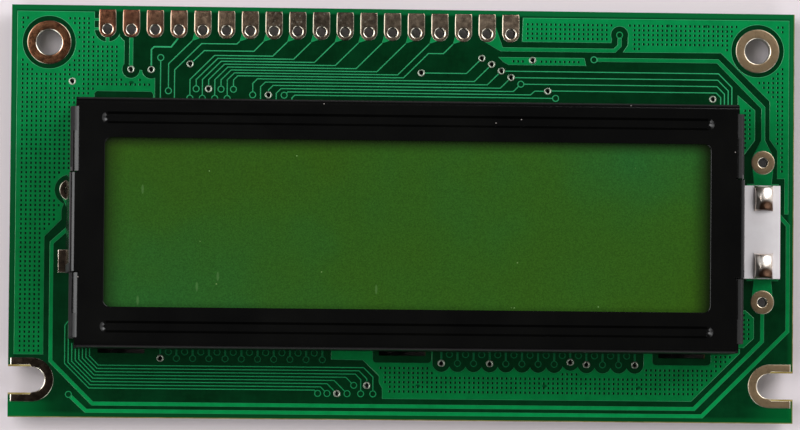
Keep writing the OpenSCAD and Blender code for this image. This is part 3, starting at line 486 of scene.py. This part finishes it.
# Tints of the flats from the left end of the board to the right, and of the rims
PAD_TINTS = ((0.01, (0.32, 0.14, 0.07, 1)), (0.06, (0.44, 0.19, 0.11, 1)), (0.15, (0.56, 0.39, 0.26, 1)),
             (0.32, (0.25, 0.2, 0.145, 1)), (0.7, (0.78, 0.6, 0.43, 1)), (0.99, (0.48, 0.34, 0.2, 1)))
PALE_RIM = (0.84, 0.8, 0.68, 1)
DULL_RIM = (0.3, 0.31, 0.24, 1)
VIA_RIM_TINT = (0.28, 0.31, 0.25, 1)
VIA_TINTS = ((0.0, (0.52, 0.6, 0.48, 1)), (1.0, (0.52, 0.6, 0.48, 1)))
WHITE_TIN = (0.88, 0.87, 0.83, 1)
PAD_TIN = [tin("tinned_pads", PAD_TINTS, PALE_RIM, 0.2, 0.004 * MM),
           tin("tinned_edges", PAD_TINTS, DULL_RIM, 0.2, 0.004 * MM)]
CHIP_TIN = tin("bright_tin", ((0.0, WHITE_TIN), (1.0, WHITE_TIN)), WHITE_TIN, 0.3, 0.002 * MM)
VIA_TIN = tin("via_tin", VIA_TINTS, VIA_RIM_TINT, 0.28, 0.002 * MM)
STEEL = black_steel()
WHITE_MASK = white_mask()
RESISTOR = moulded("resistor_body", srgb(24, 24, 28), srgb(36, 36, 40), 0.5 * MM, 0.3)
CAPACITOR = moulded("capacitor_body", srgb(150, 118, 84), srgb(172, 138, 100), 0.4 * MM, 0.4)
# Materials of the nodes that keep their solids
CAD_PAINTS = (
    (solder_mask(), "pcb"),
    (display_film(), "front_polarizer", "rear_polarizer"),
    (glass(), "front_glass", "rear_glass"),
    (layered_rubber(), "zebra_top", "zebra_bottom"),
    (moulded("diffuser", srgb(226, 232, 212), srgb(236, 240, 224), 3 * MM, 0.5), "diffuser"),
    (moulded("white_plastic", srgb(226, 226, 222), srgb(238, 238, 234), 2 * MM, 0.45), "backlight_frame"),
    (moulded("led_resin", srgb(214, 204, 120), srgb(230, 222, 140), 0.5 * MM, 0.25), "led_chips"),
    (moulded("black_resin", srgb(18, 18, 19), srgb(30, 29, 29), 2.5 * MM, 0.36, 0.03 * MM),
     "driver_drop_left", "driver_drop_right"),
)


# Mesh helpers

# Angles in degrees at which faces keep a hard edge between them
PAD_SHARP = 32
COPPER_SHARP = 20
JOINT_SHARP = 70
CHIP_SHARP = 50
COPY_SHARP = 30
# Corners of a square in turn
CORNERS = ((-1, -1), (1, -1), (1, 1), (-1, 1))


def add_object(name, data):
    thing = bpy.data.objects.new(name, data)
    scene.collection.objects.link(thing)
    return thing


def finish_piece(name, mesh, stands_for, sharp):
    """Turns the faces outward, smooths round stretches, rides the piece on the root body and hides the nodes
    that it stands for.
    """
    shape = bmesh.new()
    shape.from_mesh(mesh)
    bmesh.ops.recalc_face_normals(shape, faces=shape.faces)
    shape.to_mesh(mesh)
    shape.free()
    mesh.shade_smooth()
    mesh.set_sharp_from_angle(angle=math.radians(sharp))
    piece = add_object(name, mesh)
    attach(piece, "root")
    if stands_for:
        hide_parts(*stands_for)


class Shape:
    """Points and faces of a piece while it is put together. A face's mark is the number of its paint."""

    def __init__(self):
        self.verts = []
        self.faces = []
        self.marks = []

    def loop(self, points):
        first = len(self.verts)
        self.verts.extend(points)
        return list(range(first, len(self.verts)))

    def face(self, corners, mark=0):
        self.faces.append(corners)
        self.marks.append(mark)

    def band(self, low, high, marks=None):
        """Faces between two closed loops of equal length."""
        for i, mark in enumerate(marks or [0] * len(low)):
            j = (i + 1) % len(low)
            self.face((low[i], low[j], high[j], high[i]), mark)

    def tower(self, loops, marks=None):
        """Bands from loop to loop, closed by a face at each end."""
        for low, high in zip(loops, loops[1:]):
            self.band(low, high, marks)
        self.face(loops[0])
        self.face(loops[-1])

    def piece(self, name, paints, slot, stands_for=(), sharp=PAD_SHARP):
        """Makes one mesh of the points and faces, and rides it on the body."""
        mesh = bpy.data.meshes.new(name)
        mesh.from_pydata(self.verts, [], self.faces)
        for paint in paints:
            mesh.materials.append(paint)
        mesh.polygons.foreach_set("material_index", self.marks)
        finish_piece(name, mesh, stands_for, sharp)


def grown(start, joined):
    """Faces reached from a first one over edges, where joined(face, edge, other face) holds."""
    found, waiting = {start}, [start]
    while waiting:
        face = waiting.pop()
        for edge in face.edges:
            for other in edge.link_faces:
                if other not in found and joined(face, edge, other):
                    found.add(other)
                    waiting.append(other)
    return found


def islands(node):
    """Box (low corner, high corner) of each separate solid in a CAD node, from left to right."""
    shape = bmesh.new()
    shape.from_mesh(nodes[node].data)
    bmesh.ops.remove_doubles(shape, verts=shape.verts, dist=TINY)
    left = set(shape.faces)
    boxes = []
    while left:
        solid = grown(next(iter(left)), lambda face, edge, other: True)
        left -= solid
        points = [v.co for face in solid for v in face.verts]
        boxes.append((Vector(map(min, zip(*points))), Vector(map(max, zip(*points)))))
    shape.free()
    return sorted(boxes, key=lambda box: (round(box[0].x, 6), box[0].y))


# Tinned pads with plated holes

PIN_HOLE, CORNER_HOLE, SUPPLY_HOLE = (mounts[name]["dims"]["hole_r_mm"] * MM
                                      for name in ("pin_row", "mounting_holes", "backlight_supply"))
VIA_HOLE = 0.21 * MM
# Widths of the holes' rounded rims, and a rim's depth as a share of its width
PIN_RIM = 0.18 * MM
CORNER_RIM = 0.18 * MM
SUPPLY_RIM = 0.14 * MM
VIA_RIM = 0.1 * MM
SLOT_RIM = 0.22 * MM
LEG_RIM = 0.04 * MM
RIM_DROP = 0.45
# Rounded outer edge of a pad: inset from the outline in millimetres, and share of the copper's height
PAD_EDGE = ((0, 0), (0, 0.25), (0.02, 0.55), (0.05, 0.82), (0.08, 0.95), (0.11, 1))
# Width of a via's rounded edge as a share of a pad's
VIA_EDGE = 0.4
# Falling ends of the slot pads at the board's edge: run in millimetres, and share of the copper's height
LEG_END = ((0, 0.2), (0.04, 0.55), (0.09, 0.95), (0.12, 1))
# Run over which a slot pad's straight legs come in to its round end
LEG_JOIN = 0.15 * MM
# Points round a pad, and steps over a rim
ROUND = 64
RIM_STEPS = 8


def plated_profile(hole, rim, edge=1.0):
    """Loops of a plated pad from its upper edge through the hole to the lower edge and back.
    Each is (True, inset from the outline, height) or (False, radius around the hole, height).
    The hole's rim is an oval fillet, wider than deep."""
    drop = rim * RIM_DROP
    upper = [(True, inset * edge * MM, TOP + COPPER * share) for inset, share in PAD_EDGE]
    for i in range(RIM_STEPS + 1):
        turn = math.pi / 2 * i / RIM_STEPS
        upper.append((False, hole + rim - rim * math.sin(turn), TOP + COPPER - drop + drop * math.cos(turn)))
    lower = [(kind, size, TOP + BOTTOM - z) for kind, size, z in reversed(upper)]
    sleeve = [(False, hole + PLATING, BOTTOM), (False, hole + PLATING, TOP)]
    return upper + lower + sleeve


def edge_marks(profile):
    """1 for each stretch of a profile along the pad's outer edge, and 0 for the others."""
    return [int(one[0] and two[0]) for one, two in zip(profile, profile[1:] + profile[:1])]


def circle(centre, radius):
    turns = [2 * math.pi * i / ROUND for i in range(ROUND)]
    return [(centre[0] + radius * math.cos(t), centre[1] + radius * math.sin(t)) for t in turns]


def pin_outline(centre, half, reach, inset):
    """Pad outline with a round lower end and a square upper end that reaches above the hole."""
    points = []
    for i in range(ROUND):
        turn = 2 * math.pi * i / ROUND
        c, s = math.cos(turn), math.sin(turn)
        away = half - inset
        if s > 0:
            away = min(away / max(abs(c), TINY), (reach - inset) / s)
        points.append((centre[0] + away * c, centre[1] + away * s))
    return points


def plated_pad(shape, centre, hole, rim, outline, edge=1.0):
    """Adds one pad with its plated hole as a closed chain of loops."""
    profile = plated_profile(hole, rim, edge)
    loops = []
    for on_edge, size, z in profile:
        flat = outline(size) if on_edge else circle(centre, size)
        loops.append(shape.loop([(x, y, z) for x, y in flat]))
    for low, high, mark in zip(loops, loops[1:] + loops[:1], edge_marks(profile)):
        shape.band(low, high, [mark] * ROUND)


def ring_pads(node, hole, rim, paints, slot, edge=1.0):
    """Round plated pads at the places of a CAD node's solids."""
    shape = Shape()
    for low, high in islands(node):
        centre = (low + high) / 2
        radius = (high.x - low.x) / 2
        plated_pad(shape, centre, hole, rim, lambda inset: circle(centre, radius - inset), edge)
    shape.piece(node + "_tinned", paints, slot, [node])


def pin_pads():
    """Pads of the pin row, each with its hole at the middle of its round end."""
    shape = Shape()
    for low, high in islands("interface_pads"):
        half = (high.x - low.x) / 2
        centre = Vector((low.x + half, low.y + half, TOP))
        plated_pad(shape, centre, PIN_HOLE, PIN_RIM,
                   lambda inset: pin_outline(centre, half, high.y - centre.y, inset))
    shape.piece("interface_pads_tinned", PAD_TIN, "tinned_pads", ["interface_pads"])


def slot_pads():
    """Plated pads around the open slots, swept along each slot from one end to the other.
    A station is its run from the board's middle, the direction out of the slot, the share of the copper's
    height, and the widths of the bare strip and of the rim."""
    shape = Shape()
    strip = SLOT_STRIP - CORNER_HOLE
    up, down = math.pi / 2, math.pi * 1.5
    for low, high in islands("slot_pads"):
        side = 1 if low.x > 0 else -1
        outer = (high.y - low.y) / 2
        mid_y = (low.y + high.y) / 2
        end = abs(high.x if side > 0 else low.x)
        bend = end - (high.x - low.x - outer)
        leg = [(end - run * MM, up, share, strip, LEG_RIM) for run, share in LEG_END]
        leg.append((bend + LEG_JOIN, up, 1.0, strip, LEG_RIM))
        swings = [math.pi * i / (ROUND // 2) for i in range(ROUND // 2 + 1)]
        stations = leg + [(bend, up + swing, 1.0, 0.0, LEG_RIM + (SLOT_RIM - LEG_RIM) * math.sin(swing))
                          for swing in swings]
        stations += [(run, down, *rest) for run, _, *rest in reversed(leg)]
        loops = []
        for run, turn, share, bare, rim in stations:
            points = []
            for on_edge, size, z in plated_profile(CORNER_HOLE, rim):
                radius = outer - size if on_edge else size + bare
                if z > TOP:
                    z = TOP + (z - TOP) * share
                elif z < BOTTOM:
                    z = BOTTOM + (z - BOTTOM) * share
                points.append((side * (run + radius * math.cos(turn)), mid_y + radius * math.sin(turn), z))
            loops.append(shape.loop(points))
        shape.tower(loops, edge_marks(plated_profile(CORNER_HOLE, SLOT_RIM)))
    shape.piece("slot_pads_tinned", PAD_TIN, "tinned_pads", ["slot_pads"])


def spare_pads():
    """Ring and square pads at the left, half under the bezel. A ring pad's solid goes through the board."""
    shape = Shape()
    for low, high in islands("spare_pads"):
        centre = (low + high) / 2
        half = (high.x - low.x) / 2
        if low.z < TOP - COPPER:
            plated_pad(shape, centre, SUPPLY_HOLE, SUPPLY_RIM, lambda inset: circle(centre, half - inset))
            continue
        loops = []
        for inset, share in PAD_EDGE:
            side = half - inset * MM
            loops.append(shape.loop([(centre.x + sx * side, centre.y + sy * side, TOP + COPPER * share)
                                     for sx, sy in CORNERS]))
        shape.tower(loops)
    shape.piece("spare_pads_tinned", PAD_TIN, "tinned_pads", ["spare_pads"])


# Coated copper, which falls off softly to the board at its edges

# How far the upper edge stands inside the outline, and the foot outside it
FINE_SKIRT = (0.03 * MM, -0.012 * MM)
WIDE_SKIRT = (0.03 * MM, 0.012 * MM)
POUR_SKIRT = (0.02 * MM, 0.03 * MM)
# Marks of the pale edges and of the pour's dark openings
EDGE_MARK = 1
DARK_MARK = 2
# Height of a skirt's knee as a share of the copper's, and how far an outline's corner may be drawn out
KNEE = 0.75
LONGEST_CORNER = 2
# Least rise of the normals of a node's upper face
FACES_UP = 0.9


def top_faces(node):
    """Flat points, faces and outline edges of a CAD node's upper face. An outline edge is one that only
    one face uses, and it runs with the copper on its left."""
    mesh = nodes[node].data
    numbers, points, faces = {}, [], []
    for face in mesh.polygons:
        if face.normal.z < FACES_UP:
            continue
        corners = []
        for v in face.vertices:
            key = tuple(round(c / MM, 4) for c in mesh.vertices[v].co)
            if key not in numbers:
                numbers[key] = len(points)
                points.append(Vector(mesh.vertices[v].co.xy))
            corners.append(numbers[key])
        faces.append(corners)
    used = {edge for face in faces for edge in zip(face, face[1:] + face[:1])}
    return points, faces, [(a, b) for a, b in used if (b, a) not in used]


def outward(points, edges):
    """Direction out of the copper at each outline point, long enough to keep edges parallel."""
    sides = {}
    for a, b in edges:
        run = (points[b] - points[a]).normalized()
        for v in (a, b):
            sides.setdefault(v, []).append(Vector((run.y, -run.x)))
    out = {}
    for v, normals in sides.items():
        total = sum(normals, Vector((0, 0)))
        if total.length < TINY:
            out[v] = normals[0]
            continue
        total.normalize()
        out[v] = total / max(total.dot(normals[0]), 1 / LONGEST_CORNER)
    return out


def skirted(shape, points, edges, faces, inset, foot):
    """Adds the pale skirt from an upper outline down to the board, and the flat underside."""
    out = outward(points, edges)
    still = Vector((0, 0))
    rims = shape.loop([(*(p - out.get(v, still) * inset), TOP + COPPER) for v, p in enumerate(points)])
    feet = shape.loop([(*(p + out.get(v, still) * foot), TOP) for v, p in enumerate(points)])
    middle = (foot - inset) / 2
    knees = {v: shape.loop([(*(points[v] + out[v] * middle), TOP + COPPER * KNEE)])[0] for v in sorted(out)}
    for a, b in sorted(edges):
        shape.face((rims[a], knees[a], knees[b], rims[b]), EDGE_MARK)
        shape.face((knees[a], feet[a], feet[b], knees[b]), EDGE_MARK)
    for face in faces:
        shape.face([feet[v] for v in reversed(face)])
    return rims


def tracks(node, paint, skirt):
    """Coated tracks and covered vias with soft edges."""
    shape = Shape()
    points, faces, edges = top_faces(node)
    rims = skirted(shape, points, edges, faces, *skirt)
    for face in faces:
        shape.face([rims[v] for v in face])
    shape.piece(node + "_coated", [paint, EDGE], "masked_copper", [node], COPPER_SHARP)


# Pitch and start of the one grid on which the pour's small square openings stand
GRID = 0.5 * MM
GRID_START = (0.17 * MM, 0.08 * MM)
# Half the width of an opening at its rim and its floor, the floor's shift and its height as a share of
# the copper's, and how far an opening keeps from the outline
OPENING = 0.12 * MM
OPENING_FLOOR = 0.09 * MM
OPENING_SHIFT = Vector((0.03, 0)) * MM
OPENING_HEIGHT = 0.1
OPENING_KEEP = 0.37 * MM
# Marks of an opening's walls: the left one takes the pale edge paint as a painted highlight, the others the
# dark paint
WALL_MARKS = (DARK_MARK, DARK_MARK, DARK_MARK, EDGE_MARK)
# Strip of the pour beside the middle tab slot that has no openings
PLAIN_STRIP = Vector((-5.75, -15.0)) * MM
PLAIN_STRIP_HALF = Vector((2.75, 0.8)) * MM
# The triangulation fills the whole hull, and takes points this close in millimetres for one
WHOLE_HULL = 0
CLOSE = 1e-5


def runs(points, edges):
    """Start points and directions of the outline edges, as arrays."""
    start = np.array([points[a] for a, b in edges])
    return start, np.array([points[b] for a, b in edges]) - start


def inside(spots, points, edges):
    """Which spots lie on the copper: those with an odd number of outline edges to their right."""
    start, run = runs(points, edges)
    height = spots[:, None, 1]
    crossed = (start[:, 1] > height) != (start[:, 1] + run[:, 1] > height)
    rise = np.where(run[:, 1] == 0, 1.0, run[:, 1])
    at = start[:, 0] + (height - start[:, 1]) / rise * run[:, 0]
    return (crossed & (spots[:, None, 0] < at)).sum(1) % 2 == 1


def clearance(spots, points, edges):
    """Distance of each spot from the nearest outline edge."""
    start, run = runs(points, edges)
    reach = spots[:, None, :] - start
    share = np.clip((reach * run).sum(-1) / (run * run).sum(-1), 0, 1)
    return np.linalg.norm(reach - share[..., None] * run, axis=-1).min(1)


def opening_places(points, edges):
    """Grid points that lie inside the pour, clear of its outline and outside the plain strip.
    Below the bezel, none stands alone between two round clearances."""
    low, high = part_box("ground_pour")
    xs, ys = (start + GRID * np.arange(math.ceil((a - start) / GRID), (b - start) / GRID)
              for start, a, b in zip(GRID_START, low, high))
    spots = np.stack(np.meshgrid(xs, ys), -1).reshape(-1, 2)
    kept = inside(spots, points, edges) & (clearance(spots, points, edges) > OPENING_KEEP)
    kept &= (np.abs(spots - PLAIN_STRIP) > PLAIN_STRIP_HALF).any(1)
    rows = np.pad(kept.reshape(len(ys), len(xs)), ((0, 0), (1, 1)))
    lone = ~(rows[:, :-2] | rows[:, 2:]).reshape(-1)
    kept &= ~(lone & (spots[:, 1] < BEZEL_LOW.y))
    return [Vector(p) for p in spots[kept]]


def pour():
    """The pour as one sheet with its grid of small square openings."""
    points, faces, edges = top_faces("ground_pour")
    shape = Shape()
    rims = skirted(shape, points, edges, faces, *POUR_SKIRT)
    flat = [Vector(shape.verts[v][:2]) / MM for v in rims]
    links = sorted(edges)
    places = opening_places(points, edges)
    square = [Vector(corner) for corner in CORNERS]
    for place in places:
        first = len(flat)
        flat.extend((place + corner * OPENING) / MM for corner in square)
        links.extend((first + i, first + (i + 1) % 4) for i in range(4))
    spread, _, triangles, origins, _, _ = delaunay_2d_cdt(flat, links, [], WHOLE_HULL, CLOSE)
    tops = list(rims) + shape.loop([(*(p * MM), TOP + COPPER) for p in flat[len(rims):]])
    source = [origin[0] for origin in origins]
    centres = np.array([sum((spread[v] for v in t), Vector((0, 0))) / 3 * MM for t in triangles])
    for triangle, kept in zip(triangles, inside(centres, points, edges)):
        corners = [source[v] for v in triangle]
        owners = {(c - len(rims)) // 4 for c in corners}
        over_opening = len(owners) == 1 and min(owners) >= 0
        if kept and not over_opening:
            shape.face([tops[c] for c in corners])
    for i, place in enumerate(places):
        first = len(rims) + 4 * i
        rim = [tops[first + k] for k in range(4)]
        floor = shape.loop([(*(place + corner * OPENING_FLOOR + OPENING_SHIFT), TOP + COPPER * OPENING_HEIGHT)
                            for corner in square])
        # Painted highlight on each opening's left wall, with the other walls and the floor dark
        for k, mark in enumerate(WALL_MARKS):
            shape.face((rim[k], rim[(k + 1) % 4], floor[(k + 1) % 4], floor[k]), mark)
        shape.face(floor, DARK_MARK)
    shape.piece("ground_pour_sheet", [POUR, EDGE, OPENINGS], "masked_copper", ["ground_pour"], COPPER_SHARP)


# Rounded copies of CAD solids

# Radii of the bezel's edges, of its window's worn rim and of the light board's edges
BEZEL_ROUND = 0.07 * MM
WORN_ROUND = 0.17 * MM
LIGHT_BOARD_ROUND = 0.05 * MM
# Steps over a rounded edge and over a worn one
ROUND_STEPS = 2
WORN_STEPS = 4
# Faces that meet at fewer degrees are joined to one flat
FLAT_ANGLE = 0.3


def straight_normals(mesh):
    """Normals that stay straight on flats: each corner takes the mean of the faces around it that meet
    without a hard edge, weighed by the squared area of the flat that each belongs to."""
    shape = bmesh.new()
    shape.from_mesh(mesh)
    areas = {}
    for start in shape.faces:
        if start not in areas:
            flat = grown(start, lambda face, edge, other: face.normal.dot(other.normal) > 1 - TINY)
            area = sum(face.calc_area() for face in flat)
            areas.update((face, area) for face in flat)
    soft = math.cos(math.radians(COPY_SHARP))
    normals = []
    for face in shape.faces:
        for corner in face.loops:
            fan = grown(face, lambda one, edge, other: corner.vert in edge.verts
                        and one.normal.dot(other.normal) > soft)
            normals.append(sum((f.normal * areas[f] ** 2 for f in fan), Vector()).normalized())
    shape.free()
    mesh.normals_split_custom_set(normals)


def round_edges(shape, edges, radius, segments):
    bmesh.ops.bevel(shape, geom=edges, offset=radius, offset_type="OFFSET", segments=segments, profile=0.5,
                    affect="EDGES", clamp_overlap=True)


def soft_copy(name, node, radius, paint, worn=lambda edge: False):
    """Copy of a CAD node with its sharp edges rounded by a small radius, and worn ones by a larger."""
    shape = bmesh.new()
    shape.from_mesh(nodes[node].data)
    bmesh.ops.remove_doubles(shape, verts=shape.verts, dist=TINY)
    bmesh.ops.dissolve_limit(shape, angle_limit=math.radians(FLAT_ANGLE), verts=shape.verts,
                             edges=shape.edges)
    worn_edges = [e for e in shape.edges if worn(e)]
    if worn_edges:
        round_edges(shape, worn_edges, WORN_ROUND, WORN_STEPS)
    sharp = math.radians(COPY_SHARP)
    sharp_edges = [e for e in shape.edges if e.is_manifold and e.calc_face_angle() > sharp]
    round_edges(shape, sharp_edges, radius, ROUND_STEPS)
    bmesh.ops.triangulate(shape, faces=[f for f in shape.faces if len(f.verts) > 4])
    mesh = bpy.data.meshes.new(name)
    shape.to_mesh(mesh)
    shape.free()
    mesh.materials.append(paint)
    finish_piece(name, mesh, [node], COPY_SHARP)
    straight_normals(mesh)


def window_rim(edge):
    """Whether an edge of the bezel runs round its window on the face."""
    return all(BEZEL_HIGH.z - v.co.z < TINY and abs(v.co.x) < WINDOW_X + TINY
               and abs(v.co.y - BEZEL_MID_Y) < WINDOW_Y + TINY for v in edge.verts)


# Solder joints of the backlight

# A joint's rings as shares of its outline, and how far each has risen from the edge to the dome
JOINT_RISE = ((1, 0), (0.985, 0.35), (0.965, 0.62), (0.94, 0.84), (0.91, 0.96), (0.87, 1), (0.78, 1),
              (0.66, 1), (0.52, 1), (0.36, 1), (0.2, 1), (0.06, 1))
# Fall of the dome to its edges, hollow of the sides, rounding toward the crown and points along a side
JOINT_FALL = 0.42
JOINT_HOLLOW = 0.06
JOINT_ROUND = 0.3
JOINT_SIDE = 16
# How far the crown stands off the middle, in shares of half the joint, and the first joint's seed
LEAN_X = (-0.3, -0.2)
LEAN_Y = (-0.25, -0.15)
JOINT_SEED = 5


def joint_outline(half, share):
    """Outline of a joint at a share of its size: hollow-sided at the foot, rounder toward the crown."""
    points = []
    for turn in range(4):
        for i in range(JOINT_SIDE):
            t = 2 * i / JOINT_SIDE - 1
            size = share * (1 - JOINT_ROUND * (1 - share) * t * t)
            flank = 1 - JOINT_HOLLOW * share * (1 - t * t)
            x, y = ((flank, t), (-t, flank), (-flank, -t), (t, -flank))[turn]
            points.append((half.x * x * size, half.y * y * size))
    return points


def joints():
    """Two pillows of solder with pulled-out corners, whose crowns stand a little off the middle."""
    shape = Shape()
    boxes = islands("backlight_joints")
    for number, (low, high) in enumerate(boxes):
        centre = (low + high) / 2
        half = (high - low) / 2
        chance = random.Random(JOINT_SEED + number)
        lean = Vector((chance.uniform(*LEAN_X) * half.x, chance.uniform(*LEAN_Y) * half.y))
        loops = []
        for share, rise in JOINT_RISE:
            off = lean * (1 - share)
            points = []
            for x, y in joint_outline(half, share):
                dome = 1 - JOINT_FALL * ((x / half.x) ** 2 + (y / half.y) ** 2)
                points.append((centre.x + x + off.x, centre.y + y + off.y,
                               low.z + (high.z - low.z) * rise * dome))
            loops.append(shape.loop(points))
        shape.tower(loops)
    shape.piece("backlight_joints_domed", [solder(boxes)], "solder", ["backlight_joints"], JOINT_SHARP)


# Chip parts on the back

# A tinned end as a share of the chip's length, the body's inset from it, and the cut of the edges
CAP_SHARE = 0.22
BODY_INSET = Vector((0.03, 0.03, 0.03)) * MM
CHIP_CUT = 0.06 * MM


def block(shape, low, high):
    """Adds a box with its edges cut off."""
    c = min(CHIP_CUT, *((high - low) / 4))
    loops = []
    for z, inset in ((low.z, c), (low.z + c, 0), (high.z - c, 0), (high.z, c)):
        x0, x1, y0, y1 = low.x + inset, high.x - inset, low.y + inset, high.y - inset
        loops.append(shape.loop([(x0 + c, y0, z), (x1 - c, y0, z), (x1, y0 + c, z), (x1, y1 - c, z),
                                 (x1 - c, y1, z), (x0 + c, y1, z), (x0, y1 - c, z), (x0, y0 + c, z)]))
    shape.tower(loops)


def chips(node, paint, slot):
    """Chip parts: a fired body between two tinned ends."""
    bodies, ends = Shape(), Shape()
    for low, high in islands(node):
        axis = 0 if high.x - low.x > high.y - low.y else 1
        cap = (high[axis] - low[axis]) * CAP_SHARE
        cap_low, cap_high = low[axis] + cap, high[axis] - cap
        inner_low, inner_high = low + BODY_INSET, high - BODY_INSET
        inner_low[axis], inner_high[axis] = cap_low, cap_high
        inner_high.z = high.z
        block(bodies, inner_low, inner_high)
        first_high, last_low = high.copy(), low.copy()
        first_high[axis], last_low[axis] = cap_low, cap_high
        block(ends, low, first_high)
        block(ends, last_low, high)
    bodies.piece(node + "_bodies", [paint], slot, [node], CHIP_SHARP)
    ends.piece(node + "_ends", [CHIP_TIN], "bright_tin", sharp=CHIP_SHARP)


# Build

ring_pads("mounting_rings", CORNER_HOLE, CORNER_RIM, PAD_TIN, "tinned_pads")
ring_pads("supply_pads", SUPPLY_HOLE, SUPPLY_RIM, PAD_TIN, "tinned_pads")
ring_pads("via_rings", VIA_HOLE, VIA_RIM, [VIA_TIN, VIA_TIN], "bright_tin", VIA_EDGE)
pin_pads()
slot_pads()
spare_pads()
tracks("signal_tracks", FINE, FINE_SKIRT)
tracks("supply_tracks", WIDE, WIDE_SKIRT)
pour()
joints()
soft_copy("bezel_folded", "bezel", BEZEL_ROUND, STEEL, window_rim)
soft_copy("backlight_board_edged", "backlight_board", LIGHT_BOARD_ROUND, WHITE_MASK)
chips("chip_resistors", RESISTOR, "resistor_body")
chips("chip_capacitors", CAPACITOR, "capacitor_body")

for paint, *kept in CAD_PAINTS:
    for node in kept:
        for slot in nodes[node].material_slots:
            slot.material = paint


# Floor, light and camera

FLOOR_HALF = 3.0
# Soft lights: name, degrees from +X and from +Z, distance, size across and along, and brightness
LIGHTS = (
    ("back_left", 160, 40, 0.7, (0.42, 0.68), 3.9),
    ("back_right", 44, 46, 0.7, (0.42, 0.42), 4.3),
    ("front_left", 228, 50, 0.7, (0.35, 0.35), 3.0),
    ("front_right", 318, 50, 0.7, (0.35, 0.35), 2.4),
    ("wall_right", 0, 68, 0.94, (1.2, 0.7), 0.65),
)
# Camera: place, and turn in degrees
CAMERA_PLACE = (-35.86 * MM, -26.5 * MM, 603.2 * MM)
CAMERA_TURN = (2.491, -3.408, 0.49)


def softbox(name, azimuth, zenith, reach, size, radiance):
    """Rectangular soft light that faces the object. Its power follows from its brightness and size."""
    data = bpy.data.lights.new(name, "AREA")
    data.shape = "RECTANGLE"
    data.size, data.size_y = size
    data.energy = radiance * math.pi * size[0] * size[1]
    lamp = add_object(name, data)
    around, tilt = math.radians(azimuth), math.radians(zenith)
    out = Vector((math.sin(tilt) * math.cos(around), math.sin(tilt) * math.sin(around), math.cos(tilt)))
    lamp.location = out * reach
    lamp.rotation_euler = out.to_track_quat("Z", "Y").to_euler()


floor = bpy.data.meshes.new("floor")
floor.from_pydata([(x * FLOOR_HALF, y * FLOOR_HALF, 0) for x, y in CORNERS], [], [(0, 1, 2, 3)])
floor.materials.append(table())
add_object("floor", floor)

for lamp in LIGHTS:
    softbox(*lamp)
world = bpy.data.worlds.new("world")
world.use_nodes = True
background = world.node_tree.nodes["Background"]
background.inputs["Color"].default_value = (1.0, 0.99, 0.98, 1.0)
background.inputs["Strength"].default_value = 0.05

optics = bpy.data.cameras.new("camera")
optics.sensor_width = 36.0
optics.lens = 253.1
optics.clip_start = 0.01
camera = add_object("camera", optics)
camera.location = CAMERA_PLACE
camera.rotation_euler = [math.radians(a) for a in CAMERA_TURN]

scene.world = world
scene.camera = camera
scene.view_settings.view_transform = "Standard"
